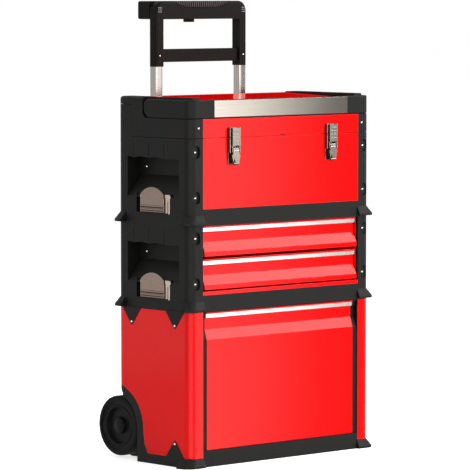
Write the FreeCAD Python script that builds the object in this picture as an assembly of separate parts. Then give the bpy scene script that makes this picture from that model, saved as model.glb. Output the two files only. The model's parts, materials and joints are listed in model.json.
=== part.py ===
import FreeCAD, Part
import math
import os

# Stackable tool trolley: three stacking modules, two wheels and a telescopic pull handle.
# Millimetres, +Z up, +Y to the back, origin at the centre of the base's underside.

Vector = FreeCAD.Vector

# Overall body
body_width = 490.0
body_depth = 217.0
corner_radius = 17.5
post_width = 34.0
base_height = 307.0
middle_height = 168.0
box_height = 168.5
lid_height = 76.5

# Wall thicknesses and gaps
sheet = 1.2
wall = 3.0
frame_wall = 4.0
cover = 2.0
slip = 0.3
panel_gap = 0.9
cut_past = 20.0

# Bands, corner flares and the rim that locates one module on the next
base_band = 32.0
module_band = 30.5
side_band = 19.0
flare_out = 14.0
flare_front = 7.0
flare_reach = 26.0
flare_lip = 4.0
rim_height = 8.0
rim_inset = 8.0
rim_wall = 3.0

# V tabs
tab_inset = 44.5
tab_half = 26.0
tab_drop = 35.0
tab_thickness = 1.5
tab_tip_radius = 3.0

# Wheels and axle
wheel_radius = 60.0
wheel_width = 38.0
wheel_inset = 6.0
wheel_back = 6.5
wheel_lift = 4.5
wheel_gap = 6.0
rim_radius = 50.0
wheel_ring = 10.0
rim_rise = 8.0
web_thickness = 6.0
hub_radius = 15.0
hub_dome = 3.0
tyre_shoulder = 5.0
tread_groove = 2.5
tread_groove_depth = 1.5
tread_groove_pitch = 10.0
axle_radius = 5.0
running_gap = 0.06
washer_radius = 9.0
well_wall = 3.0
front_tab_rise = 32.0
arch_radius = 80.0
arch_spread = 4.0
arch_back = 2.0
arch_level = 62.5
arch_top = 152.0
arch_foot = 93.5
arch_knee = 84.0
arch_knee_rise = 18.0
arch_tip = 12.0
arch_heel = 15.0
arch_heel_drop = 19.0
arch_end = 5.5

# Deep drawer
drawer_gap = 0.8
front_sheet = 1.5
deep_front_side = 46.0
deep_tub_side = 15.0
deep_front_back = 2.7
deep_recess = 9.5
deep_front_depth = 15.0
deep_flat_drop = 57.5
deep_recess_drop = 37.0
deep_tub_rise = 6.0
deep_runner_drop = 90.0
deep_runner_setback = 22.0
deep_trim_back = 4.3
trim_height = 7.4
trim_thickness = 2.0
trim_hook = 0.7
trim_edge = 0.6
trim_step = 2.5
lip_height = 3.0
tub_wall = 1.0
tub_rear_gap = 12.0

# Shallow drawers
front_side = 38.0
tub_side = 17.0
lower_front_rise = 41.0
upper_front_rise = 106.0
front_height = 59.6
front_lip = 9.2
slant_rise = 19.0
recess_depth = 9.0
front_fold = 13.0
shallow_lip = 3.8
trim_back = 5.0
tub_rise = 5.0
tub_height = 43.0
runner_rise = 24.0
runner_setback = 26.0
sill_height = 7.5

# Runners
runner_height = 24.0
runner_thickness = 5.0
runner_gap = 0.4
foot_inset = 2.0
foot_setback = 32.0
foot_length = 20.0

# Side mouldings: hand pocket and latch recess, heights above the module's seam
pocket_half = 76.5
pocket_bottom = 50.7
pocket_slope_top = 93.5
pocket_top = 127.3
pocket_depth = 33.0
finger_bump = 2.5
groove_pitch = 45.0
groove_offset = 13.0
groove_top = 156.0
groove_width = 2.0
groove_depth = 0.8
recess_half = 50.0
rivet_low = 53.0
rivet_high = 142.0
rivet_inset = 17.6
lid_rivet_inset = 23.3
pocket_rivet_rise = 108.5
pocket_rivet_back = 51.0
lid_rivet_rise = 20.0
rivet_radius = 2.4
dimple_width = 17.0
dimple_height = 25.0
dimple_depth = 4.3
dimple_wall = 2.5

# Side latches
thumb_half = 35.0
thumb_bottom = 22.5
thumb_shoulder = 58.0
thumb_top = 71.0
thumb_proud = 3.0
thumb_ridge = 1.9
ear_slot = 5.0
ear_slot_in = 2.5
ear_slot_top = 39.0
latch_sheet = 1.5
catch_pivot = 44.0
catch_pivot_in = 4.0
catch_pin_radius = 1.5
tongue_half = 8.0
tongue_in = 13.0

# Front latches
front_latch_side = 132.0
front_latch_drop = 21.5
keeper_rise = 1.0
keeper_height = 18.5
keeper_half = 7.5
front_latch_pivot_out = 4.8
front_latch_half = 14.0
front_latch_tail = 30.0
strap_foot = 6.0
strap_rise = 40.0
front_latch_cheek = 1.4
front_latch_depth = 7.0

# Lid, swing handle and hinge
lid_fall = 7.0
lid_end_rise = 2.2
lid_edge_radius = 6.0
lid_step = 63.5
hinge_drop = 12.0
hinge_out = 2.6
hinge_radius = 2.5
hinge_pin_radius = 1.2
hinge_side = 45.0
leaf_height = 22.0
bail_thickness = 8.0
bail_bottom_drop = 38.4
bail_top_drop = 2.0
bail_rear = 28.5
bail_gap = 0.6
bail_pivot_radius = 4.0
bail_draft = 2.6
bail_draft_rise = 5.0
recess_corner = 13.0
strip_side = 64.5
strip_rise = 2.4
strip_height = 32.5
strip_thickness = 0.8

# Telescopic handle
handle_spread = 113.5
handle_setback = 31.5
inner_tube_width = 18.5
inner_tube_depth = 20.5
tube_wall = 1.5
tube_radius = 4.0
tube_gap = 0.4
outer_tube_bottom = 62.0
outer_tube_drop = 118.0
inner_tube_rise = 178.0
clamp_low = 104.0
clamp_height = 34.0
clamp_high_drop = 45.0
clamp_rim = 6.0
clamp_relief_side = 30.0
clamp_plate = 8.0
clamp_web_half = 22.0
clamp_web = 6.0
collar_height = 20.0
collar_above = 4.0
collar_wall = 3.0
leg_width = 19.5
leg_depth = 22.5
leg_tail = 9.0
crossbar_drop = 86.0
crossbar_height = 26.0
grip_rise = 152.0
grip_height = 36.5
grip_back = 35.5
grip_corner = 20.0
grip_edge = 5.0
button_width = 20.0
button_depth = 11.0
button_proud = 6.5

# Worked out from the sizes above
half_width = body_width / 2
front = -body_depth / 2
back = body_depth / 2
seam_low = base_height
seam_high = base_height + middle_height
parting = seam_high + box_height
lid_top = parting + lid_height
deep_front_width = body_width - 2 * deep_front_side
deep_tub_width = deep_front_width - 2 * deep_tub_side
deep_flat_top = seam_low - deep_flat_drop
deep_recess_bottom = seam_low - deep_recess_drop
deep_level = seam_low - deep_runner_drop
front_width = body_width - 2 * front_side
tub_width = front_width - 2 * tub_side
lower_front_bottom = seam_low + lower_front_rise
upper_front_bottom = seam_low + upper_front_rise
rivet_side = half_width - rivet_inset
lid_rivet_side = half_width - lid_rivet_inset
front_latch_pivot = parting - front_latch_drop
hinge_width = body_width - 2 * hinge_side
bail_bottom = lid_top - bail_bottom_drop
bail_top = lid_top - bail_top_drop
strip_width = body_width - 2 * strip_side
outer_tube_top = lid_top - outer_tube_drop
inner_tube_bottom = outer_tube_bottom + inner_tube_rise
grip_bottom = lid_top + grip_rise
grip_top = grip_bottom + grip_height
crossbar_bottom = grip_bottom - crossbar_drop
crossbar_top = crossbar_bottom + crossbar_height
leg_bottom = crossbar_bottom - leg_tail
post_inner = half_width - post_width
wheel_y = back + wheel_back
handle_back = back + handle_setback
wheel_z = wheel_radius + wheel_lift
wheel_outer = half_width - wheel_inset
wheel_inner = wheel_outer - wheel_width
well_x = wheel_inner - 3.0
hinge_y = back + hinge_out
hinge_z = lid_top - hinge_drop
riser_top = hinge_z - 1.8
bail_pivot_y = bail_rear - (bail_top - bail_bottom) / 2
bail_pivot_z = (bail_top + bail_bottom) / 2
cabinet_half = post_inner - 2.0


def block(x0, x1, y0, y1, z0, z1):
    """A box between two corners."""
    return Part.makeBox(x1 - x0, y1 - y0, z1 - z0, Vector(x0, y0, z0))


def rod(radius, start, along, length):
    """A cylinder from a start point along a direction."""
    return Part.makeCylinder(radius, length, Vector(*start), Vector(*along))


def rounded_block(half_x, y0, y1, z0, z1, radius):
    """A box centred on X with its four upright edges rounded."""
    solid = block(-half_x, half_x, y0, y1, z0, z1)
    upright = [e for e in solid.Edges if abs(e.Vertexes[0].Z - e.Vertexes[1].Z) > 1e-6]
    return solid.makeFillet(radius, upright)


def body_block(z0, z1, inset=0.0):
    """The body's rounded outline between two heights, moved in by an inset."""
    radius = max(corner_radius - inset, 1.0)
    return rounded_block(half_width - inset, front + inset, back - inset, z0, z1, radius)


def body_ring(z0, z1, thickness, inset=0.0):
    """A wall that follows the body's outline."""
    return body_block(z0, z1, inset).cut(body_block(z0 - 1, z1 + 1, inset + thickness))


def prism_x(points, x0, x1):
    """A polygon of (y, z) points drawn out along X."""
    wire = Part.makePolygon([Vector(x0, y, z) for y, z in points + points[:1]])
    return Part.Face(wire).extrude(Vector(x1 - x0, 0, 0))


def prism_y(points, y0, y1):
    """A polygon of (x, z) points drawn out along Y."""
    wire = Part.makePolygon([Vector(x, y0, z) for x, z in points + points[:1]])
    return Part.Face(wire).extrude(Vector(0, y1 - y0, 0))


def join(shapes):
    """One solid from touching shapes."""
    return shapes[0].multiFuse(shapes[1:]).removeSplitter()


def group(shapes):
    """Separate solids kept side by side."""
    return Part.makeCompound(shapes)


def mirror(shape):
    """The same shape on the other side of the trolley."""
    return shape.mirror(Vector(0, 0, 0), Vector(1, 0, 0))


def both_sides(shape):
    return [shape, mirror(shape)]


def fillet_where(shape, radius, chosen):
    """Round the straight or curved edges whose centre passes a test."""
    edges = [e for e in shape.Edges if chosen(e)]
    return shape.makeFillet(radius, edges)


def along(edge, axis):
    """True if an edge is straight along the given axis."""
    if len(edge.Vertexes) < 2:
        return False
    d = edge.Vertexes[1].Point.sub(edge.Vertexes[0].Point)
    return abs(d.Length - abs(getattr(d, axis))) < 1e-6 and edge.Curve.TypeId == "Part::GeomLine"


def level_face(shape, z):
    """The flat face of a shape at a height."""
    return [f for f in shape.Faces if abs(f.BoundBox.ZMin - z) + abs(f.BoundBox.ZMax - z) < 1e-6][0]


# Shapes that all modules share


def corner_flares(z0):
    """The wedges that stick out at the four lower corners of a module."""
    top = z0 + side_band
    lip = z0 + flare_lip
    wide = rounded_block(
        half_width + flare_out, front - flare_front, back + flare_front, z0, lip,
        corner_radius + flare_front,
    )
    low = level_face(wide, lip)
    high = level_face(body_block(z0, top), top)
    slope = Part.makeLoft([low.OuterWire, high.OuterWire], True, True)
    skirt = wide.fuse(slope).cut(body_block(z0 - 1, top + 1, frame_wall))
    reach = 60.0
    corners = []
    for side in (-1, 1):
        x0, x1 = sorted((side * (post_inner - 1.5), side * (half_width + reach)))
        corners.append(block(x0, x1, front - reach, front + flare_reach, z0, top))
        corners.append(block(x0, x1, back - flare_reach, back + reach, z0, top))
    return skirt.common(Part.makeCompound(corners)).Solids


def v_tab(y_centre, root, tip, x0, x1):
    """A V-shaped tab from its wide root to its rounded tip, on the left side."""
    sign = 1 if tip > root else -1
    height = abs(tip - root)
    slope = math.atan2(tab_half, height)
    r = tab_tip_radius
    tip_centre = tip - sign * r
    touch_y = r * math.cos(slope)
    touch_z = tip_centre + sign * r * math.sin(slope)
    left = Vector(x0, y_centre - tab_half, root)
    right = Vector(x0, y_centre + tab_half, root)
    arc = Part.Arc(
        Vector(x0, y_centre + touch_y, touch_z),
        Vector(x0, y_centre, tip),
        Vector(x0, y_centre - touch_y, touch_z),
    ).toShape()
    edges = [
        Part.LineSegment(left, right).toShape(),
        Part.LineSegment(right, arc.Vertexes[0].Point).toShape(),
        arc,
        Part.LineSegment(arc.Vertexes[-1].Point, left).toShape(),
    ]
    return Part.Face(Part.Wire(edges)).extrude(Vector(x1 - x0, 0, 0))


def tab_places():
    return [front + tab_inset, back - tab_inset]


def locating_rim(seam):
    """The raised rim on a module's top that the next module's skirt fits over."""
    return body_ring(seam, seam + rim_height, rim_wall, rim_inset)


def tongue_slots(z0, z1, depth):
    """Cuts that let the side latches' tongues pass, for both sides."""
    x0 = -half_width + tongue_in - 2.0
    slot = block(x0, x0 + depth, -tongue_half - 2.0, tongue_half + 2.0, z0, z1)
    return both_sides(slot)


def rivet(x, y, z, along, length=3.0):
    """A blind rivet: low domed head and short shank, pointing outward along its axis."""
    x0, y0, z0 = x, y, z
    ax, ay, az = along
    start = (x0 - ax * length, y0 - ay * length, z0 - az * length)
    shank = rod(rivet_radius * 0.55, start, along, length)
    head_height = rivet_radius * 0.55
    ball_radius = (rivet_radius ** 2 + head_height ** 2) / (2 * head_height)
    drop = ball_radius - head_height
    centre = Vector(x0 - ax * drop, y0 - ay * drop, z0 - az * drop)
    ball = Part.makeSphere(ball_radius, centre)
    keep = rod(rivet_radius + 1, (x0, y0, z0), along, head_height + 1)
    return ball.common(keep).fuse(shank).removeSplitter()


# Base module


def arch_outline(offset=0.0):
    """(y, z) points of the wheel arch that the red side panel is cut to."""
    centre_y = back + arch_back
    beyond = back + 30.0
    points = [
        (beyond, 0.0),
        (centre_y - arch_foot + offset, 0.0),
        (centre_y - arch_foot + offset, side_band),
        (centre_y - arch_knee + offset, side_band + arch_knee_rise),
    ]
    steps = 7
    first, last = math.radians(180.0), math.radians(119.0)
    for i in range(steps):
        a = first + (last - first) * i / (steps - 1)
        r = arch_radius + (i / (steps - 1)) * arch_spread - offset
        points.append((centre_y + r * math.cos(a), arch_level + r * math.sin(a)))
    points.append((centre_y - arch_tip, arch_top - offset))
    points.append((beyond, arch_top - offset))
    return points


def wheel_opening(x0, x1):
    """The space round a wheel that the arch leaves free, open downward."""
    radius = wheel_radius + wheel_gap
    circle = rod(radius, (x0, wheel_y, wheel_z), (1, 0, 0), x1 - x0)
    below = block(x0, x1, wheel_y - radius, wheel_y + radius, -5.0, wheel_z)
    beyond = back + cut_past
    heel = [
        (beyond, wheel_z),
        (beyond, arch_top - arch_end),
        (back - 1.0, arch_top - arch_end),
        (back - arch_heel, arch_top - arch_heel_drop),
        (wheel_y - radius / 2, wheel_z),
    ]
    return circle.fuse([below, prism_x(heel, x0, x1)])


def make_base_tray():
    ring = body_ring(0.0, side_band, wall)
    floor = body_block(0.0, wall)
    lip = body_ring(side_band - 2.0, side_band + 7.0, 1.6, sheet + 0.1)
    band = block(-post_inner, post_inner, front, front + wall, 0.0, base_band)
    tray = [ring, floor, lip, band] + corner_flares(0.0)
    tabs = []
    y = front + tab_inset
    tip = side_band + front_tab_rise
    outer = half_width + tab_thickness
    low = block(-outer, -half_width + 0.5, y - tab_half, y + tab_half, 10.0, side_band)
    tabs += both_sides(low.fuse(v_tab(y, side_band, tip, -outer, -half_width)))
    tray += tabs
    solid = join(tray)
    # rear wall, set in so that the axle runs behind it
    channel_y = wheel_y - axle_radius - 3.0
    channel_top = wheel_z + axle_radius + 14.0
    wide = half_width + cut_past
    solid = solid.cut(block(-wide, wide, channel_y, back + cut_past, -1, arch_top))
    rear = block(-well_x, well_x, channel_y - wall, channel_y, 0.0, channel_top)
    shelf = block(-well_x, well_x, channel_y - wall, back, channel_top - wall, channel_top)
    floor_tail = block(-well_x, well_x, channel_y - wall, back, 0.0, wall)
    parts = [solid, rear, shelf, floor_tail]
    for side in (-1, 1):
        x_in, x_out = sorted((side * well_x, side * (half_width - slip)))
        arch = prism_x(arch_outline(0.3), x_in, x_out)
        arch = arch.common(body_block(0.0, arch_top, slip))
        x_a, x_b = sorted((side * (well_x - well_wall), side * well_x))
        inner = prism_x(arch_outline(0.3), x_a, x_b)
        inner = inner.common(block(x_a, x_b, front, back, 0.0, arch_top))
        x_c, x_d = sorted((side * (well_x - 14.0), side * well_x))
        boss = rod(axle_radius + 9.0, (x_c, wheel_y, wheel_z), (1, 0, 0), x_d - x_c)
        foot = block(x_c, x_d, channel_y, wheel_y + 9.0, 0.0, wheel_z)
        x_w, x_v = sorted((side * well_x, side * (half_width + 25.0)))
        parts = [p.cut(wheel_opening(x_w, x_v)) for p in parts]
        arch = arch.cut(wheel_opening(x_w, x_v))
        parts += [arch, inner, boss, foot]
    solid = join(parts)
    bore = rod(axle_radius, (-half_width, wheel_y, wheel_z), (1, 0, 0), body_width)
    return solid.cut(bore)


def make_base_wrap():
    """Painted sheet round both sides and the back, with rounded front posts."""
    top = seam_low - cover
    wrap = body_ring(side_band, top, sheet)
    opening = block(-post_inner, post_inner, front - 5, front + 20, 0, top + 5)
    wrap = wrap.cut(opening)
    for side in (-1, 1):
        x0, x1 = sorted((side * (well_x - well_wall), side * (half_width + 5)))
        wrap = wrap.cut(prism_x(arch_outline(), x0, x1))
    channel_top = wheel_z + axle_radius + 14.0
    low = block(-well_x - 1, well_x + 1, back - 15, back + 5, 0, channel_top)
    return wrap.cut(low)


def make_top_frame(seam, with_tabs):
    """Black cover plate with a locating rim; the base's one also carries V tabs."""
    plate = body_block(seam - cover, seam)
    sleeve = body_ring(seam - cover - 10.0, seam - cover, 1.6, sheet + 0.1)
    if with_tabs:
        sleeve = sleeve.cut(
            block(-post_inner - 1, post_inner + 1, front - 5, front + 20, 0, seam)
        )
    else:
        sleeve = body_ring(seam - cover - 6.0, seam - cover, 1.6, wall + 0.1)
        sleeve = sleeve.cut(
            block(-post_inner - 1, post_inner + 1, front - 5, back + 5, 0, seam)
        )
    parts = [plate, sleeve, locating_rim(seam)]
    if with_tabs:
        outer = half_width + tab_thickness
        for y in tab_places():
            root = block(
                -outer, -half_width + 2.0, y - tab_half, y + tab_half, seam - cover, seam
            )
            tab = v_tab(y, seam - cover, seam - tab_drop, -outer, -half_width)
            parts += both_sides(root.fuse(tab))
    return join(parts)


def deep_profile():
    """Outer face of the deep drawer's front: (y, z) from the bottom up."""
    y0 = front + deep_front_back
    y1 = front + deep_recess
    y_trim = y0 + deep_trim_back
    top = seam_low - cover - 1.5
    trim_low = top - lip_height - trim_height
    return [
        (y0, base_band + drawer_gap),
        (y0, deep_flat_top),
        (y1, deep_recess_bottom),
        (y1, trim_low - trim_step),
        (y_trim, trim_low),
        (y_trim, top - lip_height),
        (y0 + 0.5, top - lip_height),
        (y0 + 0.5, top),
    ]


def sheet_front(profile, half, depth):
    """A folded drawer front: its face, a flange at each end, top lip and bottom return."""
    shaped = profile[:-2]
    inner = [(y + front_sheet, z) for y, z in reversed(shaped)]
    rear = front + depth
    closed = shaped + [(rear, shaped[-1][1]), (rear, profile[0][1])]
    parts = [prism_x(shaped + inner, -half, half)]
    for side in (-1, 1):
        x0, x1 = sorted((side * half, side * (half - front_sheet)))
        parts.append(prism_x(closed, x0, x1))
    bottom = profile[0][1]
    parts.append(block(-half, half, profile[0][0], rear, bottom, bottom + front_sheet))
    parts.append(block(-half, half, profile[-2][0], rear, profile[-2][1], profile[-1][1]))
    return join(parts)


def trim_bar(profile, half):
    """The light metal grip strip that lies on a front's narrow upright step."""
    y, z0 = profile[-4]
    y_face = y - trim_thickness
    bar = block(-half, half, y_face, y, z0 - trim_hook, z0 + trim_height)
    return fillet_where(
        bar, trim_edge,
        lambda e: e.BoundBox.XLength > 1 and abs(e.BoundBox.YMin - y_face) < 1e-6,
    )


def make_drawer_tub(half, y0, y1, z0, z1):
    outer = block(-half, half, y0, y1, z0, z1)
    inner = block(
        -half + tub_wall, half - tub_wall, y0 + tub_wall, y1 - tub_wall, z0 + tub_wall, z1 + 1
    )
    return outer.cut(inner)


def channel_rail(x_open, direction, y0, y1, z_mid):
    """A rolled rail: a flat web with two short lips that turn toward the drawer."""
    height = runner_height
    web = 1.2
    x_web = x_open + direction * runner_thickness
    x0, x1 = sorted((x_web, x_web - direction * web))
    body = block(x0, x1, y0, y1, z_mid - height / 2, z_mid + height / 2)
    x0, x1 = sorted((x_open, x_web))
    low = block(x0, x1, y0, y1, z_mid - height / 2, z_mid - height / 2 + web)
    high = block(x0, x1, y0, y1, z_mid + height / 2 - web, z_mid + height / 2)
    return join([body, low, high])


def make_runners(half, y0, y1, z_mid):
    """The drawer's own rail members, one on each side of the tub."""
    height = runner_height - 2 * 1.2 - 2 * runner_gap
    bar = block(half, half + runner_thickness, y0, y1, z_mid - height / 2, z_mid + height / 2)
    groove = block(
        half + 1.2, half + runner_thickness + 1, y0 - 1, y1 + 1, z_mid - height / 2 + 1.2,
        z_mid + height / 2 - 1.2,
    )
    return group(both_sides(bar.cut(groove)))


def make_rails(tub_half, wall_x, y0, y1, levels, standoff):
    """Cabinet rail members fixed to the cabinet wall, for each drawer level."""
    solids = []
    x_open = tub_half + runner_gap + 1.2 + 0.4
    for z_mid in levels:
        rail = channel_rail(x_open, 1, y0, y1, z_mid)
        x_web = x_open + runner_thickness
        feet = []
        if standoff:
            for y in (y0 + foot_inset, y1 - foot_setback):
                feet.append(block(x_web, wall_x, y, y + foot_length, z_mid - 9.0, z_mid + 9.0))
        else:
            feet.append(block(x_web, wall_x, y0 + 10, y1 - 10, z_mid - 4.0, z_mid + 4.0))
        solids += both_sides(join([rail] + feet))
    return group(solids)


def make_front_frame():
    """The black strips beside the deep drawer, which follow its profile."""
    profile = deep_profile()
    rear = front + deep_front_depth + 3.5
    shaped = [(y + 0.3, z) for y, z in profile]
    shaped[0] = (shaped[0][0], base_band)
    shaped[-1] = (shaped[-1][0], seam_low - cover)
    outline = shaped + [(rear, seam_low - cover), (rear, base_band)]
    x0 = deep_front_width / 2 + drawer_gap
    parts = []
    for side in (-1, 1):
        a, b = sorted((side * x0, side * post_inner))
        strip = prism_x(outline, a, b)
        c, d = sorted((side * (post_inner - 1.0), side * (half_width - corner_radius)))
        flange = block(
            c, d, front + sheet, front + sheet + 2.5, base_band, seam_low - cover - 12.0
        )
        parts.append(strip.fuse(flange))
    sill = block(-x0 - 1, x0 + 1, front + wall, rear, base_band - 4.0, base_band - 1.0)
    head = block(
        -x0 - 1, x0 + 1, rear - 3.0, rear, seam_low - cover - 6.0, seam_low - cover
    )
    ends = [
        block(-x0 - 11.0, -x0, front + wall, rear, base_band - 4.0, base_band),
        block(x0, x0 + 11.0, front + wall, rear, base_band - 4.0, base_band),
    ]
    return join(parts + [sill, head] + ends)


# Wheels


def turned(points):
    """A solid of revolution about the X axis from (x, radius) points."""
    wire = Part.makePolygon([Vector(u, 0, r) for u, r in points + points[:1]])
    return Part.Face(wire).revolve(Vector(0, 0, 0), Vector(1, 0, 0), 360)


def make_rim():
    """Left wheel's rim: stepped ring, shallow dish, hub and domed cap, turned about the axle."""
    bore = axle_radius + running_gap
    u0 = wheel_inner
    u1 = wheel_outer
    dish = u1 - 2.0 - rim_rise
    ring_in = rim_radius - wheel_ring
    hub_face = u1 - hub_dome
    solid = turned([
        (u0, bore),
        (u0, hub_radius),
        (dish - web_thickness, hub_radius),
        (dish - web_thickness, ring_in),
        (u0 + 2.0, ring_in),
        (u0 + 2.0, rim_radius),
        (u1 - 2.0, rim_radius),
        (u1 - 2.0, rim_radius - 3.5),
        (u1 - 4.0, rim_radius - 5.0),
        (u1 - 4.0, ring_in + 1.0),
        (u1 - 2.0, ring_in - 1.0),
        (u1 - 2.0, ring_in - 3.0),
        (dish, ring_in - 6.0),
        (dish, hub_radius + 2.0),
        (hub_face, hub_radius),
        (hub_face, bore),
    ])
    cavity = rod(washer_radius + 1.5, (u1 - 9.5, 0, 0), (1, 0, 0), 6.0)
    dome_radius = (hub_radius ** 2 + hub_dome ** 2) / (2 * hub_dome)
    ball = Part.makeSphere(dome_radius, Vector(u1 - dome_radius, 0, 0))
    dome = ball.common(rod(hub_radius, (hub_face, 0, 0), (1, 0, 0), hub_dome + 1))
    cap = rod(hub_radius - 1.0, (hub_face - 0.5, 0, 0), (1, 0, 0), 0.5)
    return join([solid.cut(cavity), cap.fuse(dome)])


def place_wheel(shape, side):
    """Move a wheel shape, made about the X axis on the right side, to its axle."""
    moved = shape.translated(Vector(0, wheel_y, wheel_z))
    return mirror(moved) if side < 0 else moved


def make_tyre():
    """Tyre with rounded shoulders and grooves round its tread."""
    outer = rod(wheel_radius, (wheel_inner, 0, 0), (1, 0, 0), wheel_width)
    edges = [e for e in outer.Edges if e.Curve.TypeId == "Part::GeomCircle"]
    outer = outer.makeFillet(tyre_shoulder, edges)
    middle = (wheel_inner + wheel_outer) / 2
    for i in (-1, 0, 1):
        u = middle + i * tread_groove_pitch
        groove = turned([
            (u - tread_groove / 2, wheel_radius - tread_groove_depth),
            (u + tread_groove / 2, wheel_radius - tread_groove_depth),
            (u + tread_groove / 2, wheel_radius + 1.0),
            (u - tread_groove / 2, wheel_radius + 1.0),
        ])
        outer = outer.cut(groove)
    return outer.cut(rod(rim_radius, (wheel_inner - 1, 0, 0), (1, 0, 0), wheel_width + 2))


def make_axle():
    """The steel axle, with a washer inside and a clip outside each wheel."""
    end = wheel_outer - 6.0
    shaft = rod(axle_radius, (-end, wheel_y, wheel_z), (1, 0, 0), 2 * end)
    parts = [shaft]
    inner = rod(washer_radius, (well_x + 0.2, wheel_y, wheel_z), (1, 0, 0), wheel_inner - well_x - 0.6)
    outer = rod(washer_radius, (wheel_outer - 8.4, wheel_y, wheel_z), (1, 0, 0), 1.6)
    parts += both_sides(inner) + both_sides(outer)
    return join(parts)


# Middle module and top box: frames, side mouldings and steel cabinets


def make_base_frame(seam):
    """The skirt that fits over the rim below: front band, low walls and corner flares."""
    ring = body_ring(seam, seam + side_band, frame_wall)
    band = block(-post_inner, post_inner, front, front + frame_wall, seam, seam + module_band)
    ledge = body_block(seam + side_band - 3.0, seam + side_band, 1.0)
    hole = block(
        -cabinet_half + 12, cabinet_half - 12, front + 16, back - 16, seam, seam + side_band + 1
    )
    ledge = ledge.cut(hole)
    for slot in tongue_slots(seam, seam + side_band + 1, 18.0):
        ledge = ledge.cut(slot)
    return join([ring, band, ledge] + corner_flares(seam))


def dimple(side, z, grow, y0, y1):
    """An upright oval round a post rivet, between two depths."""
    x = side * rivet_side
    half = dimple_width / 2 + grow
    reach = (dimple_height - dimple_width) / 2
    body = block(x - half, x + half, y0, y1, z - reach, z + reach)
    top = rod(half, (x, y0, z + reach), (0, 1, 0), y1 - y0)
    low = rod(half, (x, y0, z - reach), (0, 1, 0), y1 - y0)
    return join([body, top, low])


def make_side_moulding(seam, top, rear_top):
    """Left side: wall with front and rear posts, hand pocket and latch recess."""
    z0 = seam + side_band
    outer = body_ring(z0, rear_top, wall)
    keep = block(-half_width - 5, -post_inner, front - 5, back + 5, z0 - 1, rear_top + 1)
    shell = outer.common(keep)
    if rear_top > top:
        shell = shell.cut(
            block(-half_width - 5, -post_inner + 5, front - 5, lid_step + 0.4, top, rear_top + 5)
        )
    z_slope_low = seam + pocket_bottom
    z_slope_high = seam + pocket_slope_top
    z_top = seam + pocket_top
    x_out = -half_width
    x_in = -half_width + pocket_depth
    x_skin = x_in + 1.8
    window = block(x_out - 5, x_out + wall + 1, -pocket_half, pocket_half, z_slope_low, z_top)
    bumps = []
    radius = (groove_pitch ** 2 / 4 + finger_bump ** 2) / (2 * finger_bump)
    for i in (-1, 0, 1):
        y = groove_offset + i * groove_pitch
        scoop_start = (x_out - 5, y + groove_pitch / 2, z_top + finger_bump - radius)
        scoop = rod(radius, scoop_start, (1, 0, 0), wall + 6)
        limit = block(
            x_out - 5, x_out + wall + 1, max(y, -pocket_half), min(y + groove_pitch, pocket_half),
            z_top - 5, z_top + finger_bump + 1,
        )
        bumps.append(scoop.common(limit))
    latch_window = block(x_out - 5, x_out + wall + 1, -recess_half, recess_half, z0 + 2.0, z_slope_low + 1)
    shell = shell.cut(join([window, latch_window] + bumps))
    grooves = []
    for i in (-1, 0, 1):
        y = groove_offset + i * groove_pitch
        grooves.append(
            block(
                x_out - 1, x_out + groove_depth, y - groove_width / 2, y + groove_width / 2,
                z_top + 0.5, min(seam + groove_top, top - 4.0),
            )
        )
    shell = shell.cut(grooves)
    pocket_y = pocket_half + wall
    ceiling = block(
        x_out + 0.5, x_skin, -pocket_y, pocket_y, z_top + finger_bump + 0.2, z_top + finger_bump + wall
    )
    back_wall = block(x_in, x_skin, -pocket_y, pocket_y, z0 + 2.0, z_top + finger_bump + wall)
    slope_points = [
        (x_out, z_slope_low),
        (x_in, z_slope_high),
        (x_in, z_slope_high - 4.5),
        (x_out + 3.4, z_slope_low),
    ]
    slope = prism_y(slope_points, -pocket_y, pocket_y)
    slope = slope.common(block(x_out, x_skin, -pocket_y, pocket_y, z_slope_low, z_slope_high + 1))
    parts = [shell, ceiling, back_wall, slope]
    for side in (-1, 1):
        y0, y1 = sorted((side * pocket_half, side * pocket_y))
        parts.append(
            block(x_out + 0.5, x_skin, y0, y1, z_slope_low, z_top + finger_bump + wall)
        )
        y0, y1 = sorted((side * recess_half, side * (recess_half + wall)))
        parts.append(block(x_out + 0.5, x_skin, y0, y1, z0 + 2.0, z_slope_low + 8.0))
    floor = block(x_out + 0.5, x_skin, -recess_half - wall, recess_half + wall, z0 + 0.0, z0 + 2.0)
    floor = floor.cut(tongue_slots(z0 - 1, z0 + 3.0, 18.0)[0])
    parts.append(floor)
    solid = join(parts)
    floor_y = front + dimple_depth
    for z in (rivet_low, rivet_high):
        backing = dimple(-1, seam + z, dimple_wall, front + 1.0, floor_y + dimple_wall)
        backing = backing.common(body_block(z0, rear_top, 0.5))
        solid = solid.fuse(backing).cut(dimple(-1, seam + z, 0.0, front - 1.0, floor_y))
    return solid.removeSplitter()


def make_cabinet():
    """Red steel box that carries the shallow drawers."""
    z0 = seam_low + side_band
    top = seam_high - cover
    floor_z = seam_low + module_band + sill_height
    sides = both_sides(block(cabinet_half - sheet, cabinet_half, front + 4.5, back - sheet, z0, top))
    floor = block(-cabinet_half, cabinet_half, front, back - sheet, floor_z - sheet, floor_z)
    sill = block(-post_inner, post_inner, front, front + sheet, seam_low + module_band, floor_z)
    rear = block(-post_inner, post_inner, back - sheet, back, z0, top)
    return join([floor, sill, rear] + sides)


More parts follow.
